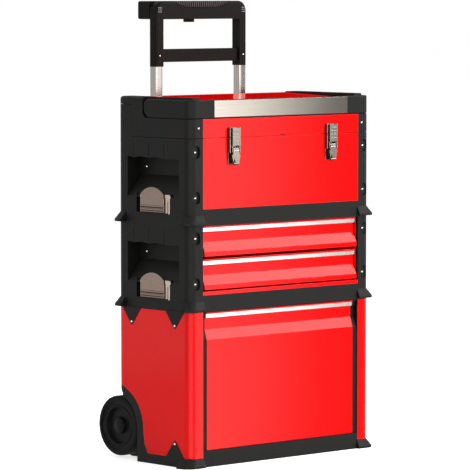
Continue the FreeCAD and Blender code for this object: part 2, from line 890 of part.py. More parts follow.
def make_box_tub():
    """Red steel tub of the top box."""
    z0 = seam_high + side_band
    top = parting - panel_gap / 2
    floor_z = seam_high + side_band + 3.0
    sides = both_sides(block(cabinet_half - sheet, cabinet_half, front + sheet, back - sheet, z0, top - 8.0))
    floor = block(-cabinet_half, cabinet_half, front + sheet, back - sheet, floor_z - sheet, floor_z)
    face = block(
        -post_inner, post_inner, front, front + sheet, seam_high + module_band, top
    )
    hem = block(-cabinet_half, cabinet_half, front + sheet, front + 7.0, top - sheet - 1.0, top - 1.0)
    rear = block(-post_inner, post_inner, back - sheet, back, z0, riser_top)
    skirt = block(
        -cabinet_half, cabinet_half, front + frame_wall, front + frame_wall + sheet, z0,
        seam_high + module_band + 6.0,
    )
    band = block(
        -post_inner, post_inner, front - 1, front + frame_wall, z0 - 1, seam_high + module_band
    )
    return join([floor, face, hem, rear, skirt] + sides).cut(band)


def shallow_profile(bottom):
    """Outer face of a shallow drawer's front: (y, z) from the bottom up."""
    top = bottom + front_height
    trim_top = top - shallow_lip + 0.5
    trim_low = trim_top - trim_height
    return [
        (front, bottom),
        (front, bottom + front_lip),
        (front + recess_depth, bottom + front_lip + slant_rise),
        (front + recess_depth, trim_low - trim_step),
        (front + trim_back + trim_thickness, trim_low),
        (front + trim_back + trim_thickness, trim_top),
        (front + trim_back - 1.5, trim_top),
        (front + trim_back - 1.5, top),
    ]


def shallow_runner_level(bottom):
    return bottom + runner_rise


# Side latches


def thumb_outline(seam):
    """Face of the thumb plate in the YZ plane, with a rounded top."""
    z0 = seam + thumb_bottom
    z1 = seam + thumb_shoulder
    z2 = seam + thumb_top
    x = -half_width - thumb_proud
    rise = z2 - z1
    arc = Part.Arc(Vector(x, thumb_half - 2, z1), Vector(x, 0, z2), Vector(x, -thumb_half + 2, z1)).toShape()
    points = [
        Vector(x, -thumb_half + 2, z1),
        Vector(x, -thumb_half + 2, z1 - 6),
        Vector(x, -thumb_half, z1 - 8),
        Vector(x, -thumb_half, z0),
        Vector(x, thumb_half, z0),
        Vector(x, thumb_half, z1 - 8),
        Vector(x, thumb_half - 2, z1 - 6),
        Vector(x, thumb_half - 2, z1),
    ]
    lines = [Part.LineSegment(a, b).toShape() for a, b in zip(points, points[1:])]
    return Part.Wire(lines + [arc])


def make_side_latch(seam):
    """Left side: thumb plate with two ridges, cheeks on the pin and a hidden tongue."""
    x = -half_width - thumb_proud
    plate = Part.Face(thumb_outline(seam)).extrude(Vector(latch_sheet, 0, 0))
    parts = [plate]
    for z in (seam + thumb_bottom + 5.0, seam + thumb_bottom + 11.5):
        parts.append(rod(thumb_ridge, (x + 0.3, -thumb_half + 1, z), (0, 1, 0), 2 * thumb_half - 2))
    z_pin = seam + catch_pivot
    x_pin = -half_width + catch_pivot_in
    for side in (-1, 1):
        y0, y1 = sorted((side * (thumb_half - 1.5), side * (thumb_half - 0.1)))
        cheek = block(x + 0.5, x_pin + 3.0, y0, y1, z_pin - 4.0, z_pin + 4.0)
        hole = rod(catch_pin_radius + running_gap, (x_pin, y0 - 1, z_pin), (0, 1, 0), 4)
        parts.append(cheek.cut(hole))
    foot_z = seam + thumb_bottom
    x_tongue = -half_width + tongue_in
    parts.append(
        block(x + 0.2, x_tongue + latch_sheet, -tongue_half, tongue_half, foot_z, foot_z + latch_sheet)
    )
    parts.append(
        block(x_tongue, x_tongue + latch_sheet, -tongue_half, tongue_half, seam + 1.0, foot_z + latch_sheet)
    )
    return join(parts)


def make_latch_brackets(seam):
    """Fixed ears and pins of both side latches of one module."""
    x_pin = -half_width + catch_pivot_in
    z_pin = seam + catch_pivot
    x_back = -half_width + pocket_depth
    ears = []
    for side in (-1, 1):
        y0, y1 = sorted((side * (thumb_half + 0.4), side * (thumb_half + 2.0)))
        outline = [
            (x_back, seam + side_band + 2.0),
            (-half_width - 0.5, seam + side_band + 2.5),
            (-half_width - 0.5, z_pin + 7.0),
            (-half_width - 1.5, z_pin + 11.0),
            (-half_width + 8.0, z_pin + 9.0),
            (x_back, z_pin - 6.0),
        ]
        z_foot = seam + side_band + 2.0
        ear = prism_y(outline, y0, y1).common(
            block(-half_width - 10, x_back, y0, y1, z_foot, seam + pocket_bottom - 0.2)
        )
        x_slot = -half_width + ear_slot_in
        slot = block(x_slot, x_slot + ear_slot, y0 - 1, y1 + 1, z_foot - 1, seam + ear_slot_top)
        ears.append(ear.cut(slot))
    base = block(
        x_back - latch_sheet, x_back, -thumb_half - 2, thumb_half + 2, seam + side_band + 2.0,
        z_pin - 8.0,
    )
    pin = rod(catch_pin_radius, (x_pin, -thumb_half - 3.0, z_pin), (0, 1, 0), 2 * thumb_half + 6.0)
    bracket = join(ears + [base, pin])
    return group(both_sides(bracket))


# Front latches


def latch_cheeks(z0, z1):
    """Upright flanges at both sides of a front latch's plate."""
    cheeks = []
    for s in (-1, 1):
        x0, x1 = sorted(
            (
                front_latch_side + s * front_latch_half,
                front_latch_side + s * (front_latch_half - front_latch_cheek),
            )
        )
        cheeks.append(block(x0, x1, front - front_latch_depth, front, z0, z1))
    return cheeks


def front_latch_base():
    """Base plate with two ears and the lever's pin, on the box front."""
    x = front_latch_side
    z = front_latch_pivot
    y = front
    top = parting - 1.0
    plate = block(x - front_latch_half, x + front_latch_half, y - latch_sheet, y, z - front_latch_tail, top)
    parts = [plate] + latch_cheeks(z - 8.0, top)
    for s in (-1, 1):
        x0, x1 = sorted((x + s * 5.0, x + s * 6.2))
        ear = rod(2.5, (x0, y - front_latch_pivot_out, z), (1, 0, 0), x1 - x0)
        ear = ear.fuse(block(x0, x1, y - front_latch_pivot_out, y - 1, z - 2.5, z + 2.5))
        parts.append(ear)
    parts.append(rod(1.0, (x - 7.6, y - front_latch_pivot_out, z), (1, 0, 0), 15.2))
    return join(parts)


def front_latch_lever():
    """Tapered lever that hangs from its pin, with a rolled end."""
    x = front_latch_side
    z = front_latch_pivot
    y = front - front_latch_pivot_out
    y_face = y - 5.0
    right = [(7.8, 0), (7.8, -10), (11, -12.5), (7, -28)]
    outline = [(x + dx, z + dz) for dx, dz in right]
    outline += [(x - dx, z + dz) for dx, dz in reversed(right)]
    plate = prism_y(outline, y_face, y_face + 1.2)
    parts = [plate]
    for s in (-1, 1):
        x0, x1 = sorted((x + s * 6.5, x + s * 7.5))
        cheek = rod(3.0, (x0, y, z), (1, 0, 0), x1 - x0)
        cheek = cheek.fuse(block(x0, x1, y_face + 0.2, y + 0.0, z - 9, z))
        cheek = cheek.cut(rod(1.0 + running_gap, (x0 - 1, y, z), (1, 0, 0), 4))
        parts.append(cheek)
    parts.append(rod(2.4, (x - 7, y_face + 1.2, z - 29), (1, 0, 0), 14))
    parts.append(rod(0.9, (x - 9.6, y - 2.0, z - 6.0), (1, 0, 0), 19.2))
    return join(parts)


def front_latch_strap():
    """Ridged strap that swings on the lever and reaches over the lid's keeper."""
    x = front_latch_side
    z = front_latch_pivot
    y = front - front_latch_pivot_out
    y_face = front - 10.5
    face = block(x - 9.7, x + 9.7, y_face, y_face + 1.2, z + strap_foot, z + strap_rise)
    parts = [face]
    for s in (-1, 1):
        x0, x1 = sorted((x + s * 8.4, x + s * 9.5))
        upper = block(x0, x1, y_face + 0.2, y - 0.4, z + 6, z + 11)
        arm = block(x0, x1, y - 3.6, y - 0.4, z - 6, z + 7)
        eye = rod(1.6, (x0, y - 2.0, z - 6.0), (1, 0, 0), x1 - x0)
        flange = join([upper, arm, eye])
        flange = flange.cut(rod(0.9 + running_gap, (x0 - 1, y - 2.0, z - 6.0), (1, 0, 0), 4))
        parts.append(flange)
    for i in range(4):
        parts.append(rod(0.8, (x - 8.0, y_face + 0.1, z + 13 + 7.0 * i), (1, 0, 0), 16.0))
    return join(parts)


def front_latch_keeper():
    """Keeper plate on the lid with a short forward lip."""
    x = front_latch_side
    z0 = parting + keeper_rise
    z1 = z0 + keeper_height
    middle = (z0 + z1) / 2
    plate = block(x - front_latch_half, x + front_latch_half, front - latch_sheet, front, z0, z1)
    lip = block(
        x - keeper_half, x + keeper_half, front - latch_sheet - 1.3, front - 1.0, middle - 1.0,
        middle + 1.0,
    )
    return join([plate, lip] + latch_cheeks(z0, z1))


# Lid


def bail_outline(y0, z0, z1, gap):
    """Side view of a bail arm, or of its recess when a gap is given, drawn out along X."""
    r_low = (bail_top - bail_bottom) / 2
    r_high = 12.0
    lever = math.hypot(r_low - r_high, r_low - r_high) + r_high
    rear = bail_rear if gap == 0 else bail_pivot_y + lever + gap
    corner_low = r_low if gap == 0 else recess_corner
    low_centre = Vector(0, rear - corner_low, z0 + corner_low)
    half = math.sqrt(0.5)
    edges = []
    high = r_high if gap == 0 else 0.5
    p = [
        Vector(0, y0, z0),
        Vector(0, rear - corner_low, z0),
        Vector(0, rear, z0 + corner_low),
        Vector(0, rear, z1 - high),
        Vector(0, rear - high, z1),
        Vector(0, y0, z1),
    ]
    low_mid = low_centre.add(Vector(0, corner_low * half, -corner_low * half))
    high_mid = Vector(0, rear - high + high * half, z1 - high + high * half)
    edges.append(Part.LineSegment(p[0], p[1]).toShape())
    edges.append(Part.Arc(p[1], low_mid, p[2]).toShape())
    if p[3].z - p[2].z > 1e-6:
        edges.append(Part.LineSegment(p[2], p[3]).toShape())
    edges.append(Part.Arc(p[3], high_mid, p[4]).toShape())
    edges.append(Part.LineSegment(p[4], p[5]).toShape())
    edges.append(Part.LineSegment(p[5], p[0]).toShape())
    face = Part.Face(Part.Wire(edges))
    moved = face.translated(Vector(-half_width - cut_past, 0, 0))
    return moved.extrude(Vector(body_width + 2 * cut_past, 0, 0))


def bail_relief():
    """Slope cut off the lid inside the swing handle, which its front bar needs on the way up."""
    z0 = bail_pivot_z + bail_draft_rise
    z1 = lid_top + 4.0
    core_inset = bail_thickness + bail_gap
    low = level_face(body_block(z0, z1, core_inset), z0)
    high = level_face(body_block(z0, z1, core_inset + bail_draft), z1)
    core = Part.makeLoft([low.OuterWire, high.OuterWire], True, True)
    reach = bail_outline(front - 30, bail_bottom - bail_gap, z1, bail_gap)
    return body_block(z0, z1, core_inset - 1.0).cut(core).common(reach)


def make_bail():
    """U-shaped swing handle that lies round the front of the lid."""
    ring = body_ring(bail_bottom, bail_top, bail_thickness)
    side_view = bail_outline(front - 20, bail_bottom, bail_top, 0)
    bail = ring.common(side_view)
    bail = fillet_where(
        bail, 2.5,
        lambda e: e.BoundBox.ZLength < 1e-6 and abs(e.BoundBox.ZMin - bail_top) < 1e-6
        and e.BoundBox.YMax < bail_rear - 20 and e.BoundBox.XLength > 5
        and abs(e.BoundBox.YMin - front) < 1e-3,
    )
    seat = block(
        -strip_width / 2, strip_width / 2, front - 1, front + strip_thickness,
        bail_bottom + strip_rise, bail_bottom + strip_rise + strip_height,
    )
    bail = bail.cut(seat)
    x_in = half_width - bail_thickness
    pin = rod(bail_pivot_radius, (x_in - 5.0, bail_pivot_y, bail_pivot_z), (1, 0, 0), 6.0)
    return join([bail] + both_sides(pin))


def make_strip():
    """Brushed steel strip let into the bail's front."""
    z0 = bail_bottom + strip_rise
    return block(
        -strip_width / 2, strip_width / 2, front, front + strip_thickness, z0, z0 + strip_height
    )


def lid_shell():
    """Whole lid as one hollow cap, before it is split into red and black pieces."""
    z0 = parting + panel_gap / 2
    top = lid_top + lid_end_rise
    cap = body_block(z0, top)
    return fillet_where(
        cap, lid_edge_radius,
        lambda e: e.BoundBox.ZLength < 1e-6 and abs(e.BoundBox.ZMin - top) < 1e-6,
    )


def make_lid_frame():
    """Black ends of the lid joined by rails at the front and back."""
    z0 = parting + panel_gap / 2
    core_inset = bail_thickness + bail_gap
    cap = lid_shell()
    recess = body_ring(bail_bottom - bail_gap, lid_top + 5, core_inset + 10, -10)
    recess = recess.common(bail_outline(front - 30, bail_bottom - bail_gap, lid_top + 4, bail_gap))
    cap = cap.cut(recess)
    hollow_low = body_block(z0 - 1, bail_bottom - bail_gap - wall, wall)
    hollow_high = body_block(z0 - 1, lid_top - wall, core_inset + wall)
    cap = cap.cut([hollow_low, hollow_high])
    # the rear of the lid stands on the box's risers
    step = block(-half_width - 5, half_width + 5, lid_step, back + 5, z0 - 5, riser_top + panel_gap)
    cap = cap.cut(step)
    middle = block(-post_inner, post_inner, front - 5, back + 5, z0 - 5, lid_top + 5)
    ends = cap.cut(middle)
    front_rail = block(
        -post_inner - 2, post_inner + 2, front + core_inset, front + core_inset + wall,
        bail_bottom - bail_gap, lid_top - lid_fall - sheet,
    )
    rear_rail = block(
        -post_inner - 2, post_inner + 2, back - sheet - wall, back - sheet, hinge_z + 1.0,
        lid_top - wall,
    )
    frame = join([ends, front_rail, rear_rail])
    pin_x = half_width - core_inset
    hole = rod(
        bail_pivot_radius + running_gap, (-pin_x - 1, bail_pivot_y, bail_pivot_z), (1, 0, 0),
        2 * pin_x + 2,
    )
    frame = frame.cut([hole, bail_relief()])
    return frame.cut(both_sides(dimple_lid()))


def dimple_lid():
    """Small round seat of the lid's post rivet."""
    return rod(rivet_radius + 0.8, (lid_rivet_side, front - 1, lid_rivet_z()), (0, 1, 0), 1.6)


def lid_rivet_z():
    return parting + lid_rivet_rise


def make_lid_panel():
    """Red steel sheet: front strip, sloping top and short back strip."""
    z0 = parting + panel_gap / 2
    core_inset = bail_thickness + bail_gap
    strip_top = bail_bottom - bail_gap
    y_front_rail = front + core_inset
    top_front = lid_top - lid_fall
    outline = [
        (front, z0),
        (front, strip_top),
        (y_front_rail, strip_top),
        (y_front_rail, strip_top - sheet),
        (front + sheet, strip_top - sheet),
        (front + sheet, z0),
    ]
    strip = prism_x(outline, -post_inner, post_inner)
    top_outline = [
        (y_front_rail, top_front - sheet),
        (y_front_rail, top_front),
        (back, lid_top),
        (back, hinge_z + 1.0),
        (back - sheet, hinge_z + 1.0),
        (back - sheet, lid_top - sheet),
    ]
    top = prism_x(top_outline, -post_inner, post_inner)
    web = prism_x(
        [
            (y_front_rail, strip_top - sheet),
            (y_front_rail, strip_top),
            (y_front_rail + wall + sheet, strip_top),
            (y_front_rail + wall + sheet, top_front),
            (y_front_rail + wall + 2 * sheet, top_front),
            (y_front_rail + wall + 2 * sheet, strip_top - sheet),
        ],
        -post_inner + 2.5, post_inner - 2.5,
    )
    panel = join([strip, top, web])
    rail = block(
        -post_inner - 2, post_inner + 2, y_front_rail, y_front_rail + wall,
        strip_top, top_front - sheet,
    )
    return panel.cut([rail, bail_relief()])


# Hinge


def hinge_knuckles(count, first):
    """Start and end of every second knuckle along the hinge."""
    pitch = hinge_width / count
    spans = []
    for i in range(first, count, 2):
        x0 = -hinge_width / 2 + i * pitch
        spans.append((x0 + 0.2, x0 + pitch - 0.2))
    return spans


def make_hinge_leaf(upper):
    count = 11
    spans = hinge_knuckles(count, 1 if upper else 0)
    half = hinge_width / 2
    low = hinge_z - leaf_height
    if upper:
        leaf = block(-half, half, back, back + 1.0, hinge_z + 3.0, lid_top - lid_edge_radius)
    else:
        leaf = block(-half, half, back, back + 1.0, low, hinge_z - 3.0)
    parts = [leaf]
    for x0, x1 in spans:
        parts.append(rod(hinge_radius, (x0, hinge_y, hinge_z), (1, 0, 0), x1 - x0))
        z0, z1 = (hinge_z, hinge_z + 4.0) if upper else (hinge_z - 4.0, hinge_z)
        parts.append(block(x0, x1, back, back + 1.0, z0, z1))
    solid = join(parts)
    bore = rod(
        hinge_pin_radius + (running_gap if upper else 0.0), (-half - 1, hinge_y, hinge_z), (1, 0, 0),
        hinge_width + 2,
    )
    solid = solid.cut(bore)
    if upper:
        return solid
    pin = rod(hinge_pin_radius, (-half, hinge_y, hinge_z), (1, 0, 0), hinge_width)
    return solid.fuse(pin).removeSplitter()


# Telescopic handle


def tube_block(width, depth, radius, z0, z1):
    """Upright rounded bar centred on the right-hand handle tube."""
    bar = block(
        handle_spread - width / 2, handle_spread + width / 2, handle_back - depth / 2,
        handle_back + depth / 2, z0, z1,
    )
    return bar.makeFillet(radius, [e for e in bar.Edges if along(e, "z")])


def outer_size(axis):
    size = inner_tube_width if axis == "x" else inner_tube_depth
    return size + 2 * tube_gap + 2 * tube_wall


def make_outer_tubes():
    tube = tube_block(outer_size("x"), outer_size("y"), tube_radius + 1.5, outer_tube_bottom, outer_tube_top)
    bore = tube_block(
        outer_size("x") - 2 * tube_wall, outer_size("y") - 2 * tube_wall, tube_radius,
        outer_tube_bottom + 2.0, outer_tube_top + 1,
    )
    return group(both_sides(tube.cut(bore)))


def make_inner_tubes():
    tube = tube_block(inner_tube_width, inner_tube_depth, tube_radius, inner_tube_bottom, grip_bottom)
    bore = tube_block(
        inner_tube_width - 2 * tube_wall, inner_tube_depth - 2 * tube_wall, tube_radius - tube_wall,
        inner_tube_bottom - 1, grip_bottom + 1,
    )
    return group(both_sides(tube.cut(bore)))


def make_handle_mount():
    """Two clamp bars and a web that hold the outer tubes to the base's back."""
    grasp = outer_size("x") / 2 + clamp_rim
    reach = handle_spread + grasp
    rear = handle_back + outer_size("y") / 2 + clamp_rim
    open_half = handle_spread - clamp_relief_side
    clamp_high = seam_low - clamp_high_drop
    parts = []
    for z0 in (clamp_low, clamp_high):
        z1 = z0 + clamp_height
        bar = block(-reach, reach, back, handle_back, z0, z1)
        hold = block(handle_spread - grasp, reach, back, rear, z0, z1)
        relief = block(-open_half, open_half, back + clamp_plate, rear, z0 - 1, z1 + 1)
        parts += [bar.cut(relief)] + both_sides(hold)
    parts.append(
        block(
            -clamp_web_half, clamp_web_half, back, back + clamp_web, clamp_low + clamp_height / 2,
            clamp_high + clamp_height / 2,
        )
    )
    solid = join(parts)
    tube = tube_block(
        outer_size("x"), outer_size("y"), tube_radius + 1.5, outer_tube_bottom, outer_tube_top
    )
    return solid.cut(both_sides(tube))


def make_tube_collar():
    """Collars at the outer tubes' mouths, joined by a bar."""
    z1 = outer_tube_top + collar_above
    z0 = z1 - collar_height
    reach = outer_size("x") / 2 + collar_wall
    half_bar = outer_size("y") / 4
    y0 = handle_back - outer_size("y") / 2 - collar_wall
    y1 = handle_back + outer_size("y") / 2 + collar_wall
    ring = block(handle_spread - reach, handle_spread + reach, y0, y1, z0, z1)
    bar = block(
        -handle_spread, handle_spread, handle_back - half_bar, handle_back + half_bar, z0 + 2, z1 - 2
    )
    solid = join([bar] + both_sides(ring))
    outer = tube_block(outer_size("x"), outer_size("y"), tube_radius + 1.5, z0 - 1, outer_tube_top)
    mouth = tube_block(
        inner_tube_width + 0.4, inner_tube_depth + 0.4, tube_radius, outer_tube_top - 1, z1 + 1
    )
    return solid.cut(both_sides(outer) + both_sides(mouth))


def make_handle_frame():
    """Black grip frame: two legs, crossbar and a deep grip across the top."""
    y0 = handle_back - leg_depth / 2
    y1 = handle_back + leg_depth / 2
    reach = handle_spread + leg_width / 2
    inner = handle_spread - leg_width / 2
    arch = block(-reach, reach, y0, y1, leg_bottom, grip_top)
    arch = fillet_where(
        arch, grip_corner, lambda e: along(e, "y") and abs(e.BoundBox.ZMin - grip_top) < 1e-6
    )
    arch = fillet_where(
        arch, grip_edge,
        lambda e: abs(e.BoundBox.YMin - e.BoundBox.YMax) < 1e-6 and e.BoundBox.ZMax > leg_bottom + 1
        and (abs(e.BoundBox.YMin - y0) < 1e-6 or along(e, "z")),
    )
    window = block(-inner, inner, y0 - 1, y1 + 1, crossbar_top, grip_bottom)
    below = block(-inner, inner, y0 - 1, y1 + 1, leg_bottom - 1, crossbar_bottom)
    arch = arch.cut([window, below])
    thin = block(-inner, inner, y0 - 1, y0 + 5.0, crossbar_bottom - 1, crossbar_top + 1)
    arch = arch.cut(thin)
    grip = block(-reach, reach, y1 - 1, y1 + grip_back, grip_bottom, grip_top)
    grip = grip.makeFillet(4.0, [e for e in grip.Edges if e.BoundBox.YMin > y1 or along(e, "y")])
    frame = join([arch, grip])
    tube = tube_block(inner_tube_width, inner_tube_depth, tube_radius, leg_bottom - 1, grip_bottom)
    button_y = button_centre()
    pocket = block(
        -button_width / 2 - slip, button_width / 2 + slip, button_y - button_depth / 2 - slip,
        button_y + button_depth / 2 + slip, grip_bottom - 1, grip_bottom + 16.0,
    )
    return frame.cut(both_sides(tube) + [pocket])


def button_centre():
    return handle_back + leg_depth / 2 + grip_back / 2


def make_button():
    """Squeeze button under the grip, with a shoulder inside it."""
    y = button_centre()
    pad = block(
        -button_width / 2, button_width / 2, y - button_depth / 2, y + button_depth / 2,
        grip_bottom - button_proud, grip_bottom + 10.0,
    )
    low = [e for e in pad.Edges if abs(e.BoundBox.ZMax - grip_bottom + button_proud) < 1e-6]
    return pad.makeFillet(1.5, low)


# Rivets


def base_rivets():
    solids = []
    x = -half_width - tab_thickness
    for y in tab_places():
        solids += both_sides(rivet(x, y, seam_low - tab_drop + 5.5, (-1, 0, 0), tab_thickness))
    y = front + tab_inset
    solids += both_sides(rivet(x, y, side_band + front_tab_rise - 5.5, (-1, 0, 0), tab_thickness))
    return group(solids)


def module_rivets(seam):
    """Post rivets in their dimples and one in each hand pocket."""
    solids = []
    for z in (rivet_low, rivet_high):
        solids += both_sides(rivet(rivet_side, front + dimple_depth, seam + z, (0, -1, 0), 2.0))
    y = back - pocket_rivet_back
    x = -half_width + pocket_depth
    solids += both_sides(rivet(x, y, seam + pocket_rivet_rise, (-1, 0, 0), 1.6))
    return group(solids)


def lid_rivets():
    return group(both_sides(rivet(lid_rivet_side, front + 0.6, lid_rivet_z(), (0, -1, 0), 1.4)))


# Build and write every piece

parts = {}

parts["base_tray"] = make_base_tray()
parts["base_wrap"] = make_base_wrap()
parts["base_top_frame"] = make_top_frame(seam_low, True)
parts["base_front_frame"] = make_front_frame()
deep_y0 = front + deep_runner_setback
deep_y1 = back - tub_rear_gap
parts["base_rails"] = make_rails(
    deep_tub_width / 2, half_width - sheet, deep_y0, deep_y1, [deep_level], True
)
parts["base_rivets"] = base_rivets()
parts["axle"] = make_axle()
parts["handle_mount"] = make_handle_mount()
parts["outer_tubes"] = make_outer_tubes()
parts["tube_collar"] = make_tube_collar()

for name, side in (("left", -1), ("right", 1)):
    parts["tyre_" + name] = place_wheel(make_tyre(), side)
    parts["rim_" + name] = place_wheel(make_rim(), side)

deep = deep_profile()
parts["deep_drawer_front"] = sheet_front(deep, deep_front_width / 2, deep_front_depth)
parts["deep_drawer_trim"] = trim_bar(deep, deep_front_width / 2)
parts["deep_drawer_tub"] = make_drawer_tub(
    deep_tub_width / 2, front + deep_front_depth, deep_y1, base_band + deep_tub_rise, deep_recess_bottom
)
parts["deep_drawer_runners"] = make_runners(deep_tub_width / 2, deep_y0, deep_y1, deep_level)

parts["middle_base_frame"] = make_base_frame(seam_low)
side = make_side_moulding(seam_low, seam_high - cover, seam_high - cover)
parts["middle_side_left"] = side
parts["middle_side_right"] = mirror(side)
parts["middle_cabinet"] = make_cabinet()
parts["middle_top_frame"] = make_top_frame(seam_high, False)
levels = [shallow_runner_level(z) for z in (lower_front_bottom, upper_front_bottom)]
parts["middle_rails"] = make_rails(
    tub_width / 2, cabinet_half - sheet, front + runner_setback, back - tub_rear_gap, levels, False
)
parts["middle_rivets"] = module_rivets(seam_low)

for name, bottom in (("lower", lower_front_bottom), ("upper", upper_front_bottom)):
    profile = shallow_profile(bottom)
    rear = recess_depth + front_fold
    parts[name + "_drawer_front"] = sheet_front(profile, front_width / 2, rear)
    parts[name + "_drawer_trim"] = trim_bar(profile, front_width / 2)
    parts[name + "_drawer_tub"] = make_drawer_tub(
        tub_width / 2, front + rear, back - tub_rear_gap, bottom + tub_rise,
        bottom + tub_rise + tub_height,
    )
    parts[name + "_drawer_runners"] = make_runners(
        tub_width / 2, front + runner_setback, back - tub_rear_gap, shallow_runner_level(bottom)
    )

parts["top_base_frame"] = make_base_frame(seam_high)
side = make_side_moulding(seam_high, parting - panel_gap / 2, riser_top)
parts["top_side_left"] = side
parts["top_side_right"] = mirror(side)
parts["top_tub"] = make_box_tub()
parts["top_rivets"] = module_rivets(seam_high)

for name, seam in (("middle", seam_low), ("top", seam_high)):
    latch = make_side_latch(seam)
    parts[name + "_latch_left"] = latch
    parts[name + "_latch_right"] = mirror(latch)
    parts[name + "_latch_brackets"] = make_latch_brackets(seam)

parts["front_latch_bases"] = group(both_sides(front_latch_base()))
parts["front_latch_keepers"] = group(both_sides(front_latch_keeper()))
lever = front_latch_lever()
strap = front_latch_strap()
parts["front_latch_lever_right"] = lever
parts["front_latch_lever_left"] = mirror(lever)
parts["front_latch_strap_right"] = strap
parts["front_latch_strap_left"] = mirror(strap)

parts["hinge_box_leaf"] = make_hinge_leaf(False)
parts["hinge_lid_leaf"] = make_hinge_leaf(True)
parts["lid_frame"] = make_lid_frame()
parts["lid_panel"] = make_lid_panel()
parts["lid_rivets"] = lid_rivets()
parts["bail_handle"] = make_bail()
parts["bail_strip"] = make_strip()

parts["handle_tubes"] = make_inner_tubes()
parts["handle_frame"] = make_handle_frame()
parts["release_button"] = make_button()

# Every rivet's shank gets its hole
for rivets, carriers in (
    ("base_rivets", ("base_tray", "base_top_frame")),
    ("middle_rivets", ("middle_side_left", "middle_side_right")),
    ("top_rivets", ("top_side_left", "top_side_right")),
    ("lid_rivets", ("lid_frame",)),
):
    for carrier in carriers:
        parts[carrier] = parts[carrier].cut(parts[rivets])

os.makedirs("parts", exist_ok=True)
for name, shape in parts.items():
    shape.exportStep("parts/" + name + ".step")
    print(name, len(shape.Solids), round(shape.Volume / 1000, 2), shape.isValid())
print("nodes", len(parts))
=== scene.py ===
import json
import math

import bmesh
import bpy
from mathutils import Matrix, Vector


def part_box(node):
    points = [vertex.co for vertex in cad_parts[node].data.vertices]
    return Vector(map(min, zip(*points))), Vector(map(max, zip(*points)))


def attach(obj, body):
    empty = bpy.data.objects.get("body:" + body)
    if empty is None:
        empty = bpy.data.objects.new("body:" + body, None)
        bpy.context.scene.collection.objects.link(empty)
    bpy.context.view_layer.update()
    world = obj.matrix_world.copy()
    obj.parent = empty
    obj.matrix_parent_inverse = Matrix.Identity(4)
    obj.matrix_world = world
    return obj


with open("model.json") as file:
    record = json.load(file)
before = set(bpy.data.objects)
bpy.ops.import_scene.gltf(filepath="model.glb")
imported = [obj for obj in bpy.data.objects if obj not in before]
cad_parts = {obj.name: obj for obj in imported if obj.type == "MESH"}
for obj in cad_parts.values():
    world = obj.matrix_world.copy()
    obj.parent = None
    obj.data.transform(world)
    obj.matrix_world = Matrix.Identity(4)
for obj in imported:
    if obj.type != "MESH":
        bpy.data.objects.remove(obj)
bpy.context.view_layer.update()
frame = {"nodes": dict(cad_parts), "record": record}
nodes = frame["nodes"]
mm = 0.001
print("trolley: packed parts loaded,", len(nodes))


# Helpers

def linearColour(hexColour):
    # sRGB hex to the linear values that shaders work in
    channels = []
    for start in (1, 3, 5):
        value = int(hexColour[start:start + 2], 16) / 255
        channels.append(value / 12.92 if value <= 0.04045 else ((value + 0.055) / 1.055) ** 2.4)
    return (*channels, 1.0)


def addNode(tree, kind, settings=None, sockets=None):
    # one node with its own settings, and its sockets as plain values or links
    node = tree.nodes.new(kind)
    for name, value in (settings or {}).items():
        setattr(node, name, value)
    for name, value in (sockets or {}).items():
        if isinstance(value, bpy.types.NodeSocket):
            tree.links.new(value, node.inputs[name])
        else:
            node.inputs[name].default_value = value
    return node


def newMaterial(name):
    material = bpy.data.materials.new(name)
    material.use_nodes = True
    material.node_tree.nodes.clear()
    return material, material.node_tree


def finishMaterial(tree, sockets):
    shader = addNode(tree, "ShaderNodeBsdfPrincipled", None, sockets)
    addNode(tree, "ShaderNodeOutputMaterial", None, {"Surface": shader.outputs["BSDF"]})


shadeFacts = {
    "edgeSamples": 6, "flat": 0.995, "turned": 0.85,  # how far the eased normal leans away
    "gapSamples": 8, "closed": 0.25, "open": 0.9,  # share of the surroundings that a point sees
}


def edgeWearAndHighlight(tree, facts):
    # edges rounded in the shading, and a mask that rises along the edges: paler there, partly as
    # rubbed wear and partly as a painted highlight
    rounded = addNode(tree, "ShaderNodeBevel", {"samples": shadeFacts["edgeSamples"]},
                      {"Radius": facts["edge"]})
    geometry = addNode(tree, "ShaderNodeNewGeometry")
    turned = addNode(tree, "ShaderNodeVectorMath", {"operation": "DOT_PRODUCT"},
                     {0: rounded.outputs["Normal"], 1: geometry.outputs["Normal"]})
    mask = addNode(tree, "ShaderNodeMapRange", None,
                   {"Value": turned.outputs["Value"], "From Min": shadeFacts["flat"],
                    "From Max": shadeFacts["turned"], "To Min": 0.0, "To Max": facts["wearAndHighlight"]})
    return rounded.outputs["Normal"], mask.outputs["Result"]


def paintedGapShade(tree, colour, facts):
    # painted shade: in corners, gaps and recesses, where shade falls, the colour sinks to a share
    # of itself
    nearby = addNode(tree, "ShaderNodeAmbientOcclusion", {"samples": shadeFacts["gapSamples"]},
                     {"Distance": facts["crevice"]})
    clear = addNode(tree, "ShaderNodeMapRange", None,
                    {"Value": nearby.outputs["AO"], "From Min": shadeFacts["closed"],
                     "From Max": shadeFacts["open"], "To Min": facts["sunk"]})
    return addNode(tree, "ShaderNodeMix", {"data_type": "RGBA", "blend_type": "MULTIPLY"},
                   {0: 1.0, 6: colour, 7: clear.outputs["Result"]}).outputs[2]


def unevenGloss(tree, patches, facts):
    # handling leaves some patches a little glossier than others
    return addNode(tree, "ShaderNodeMapRange", None,
                   {"Value": patches.outputs["Fac"],
                    "To Min": facts["roughness"] - facts["uneven"],
                    "To Max": facts["roughness"] + facts["uneven"]}).outputs["Result"]


# Materials

plasticFacts = {
    "colour": "#1c1c1b", "rubbedAndLit": "#363634", "tone": 0.18, "patch": 60 * mm,
    "grain": 1.1 * mm, "grainDepth": 0.04 * mm, "grainForce": 0.35,
    "roughness": 0.46, "uneven": 0.07, "ior": 1.19,
    "edge": 0.9 * mm, "wearAndHighlight": 0.55, "crevice": 9 * mm, "sunk": 0.35,
}


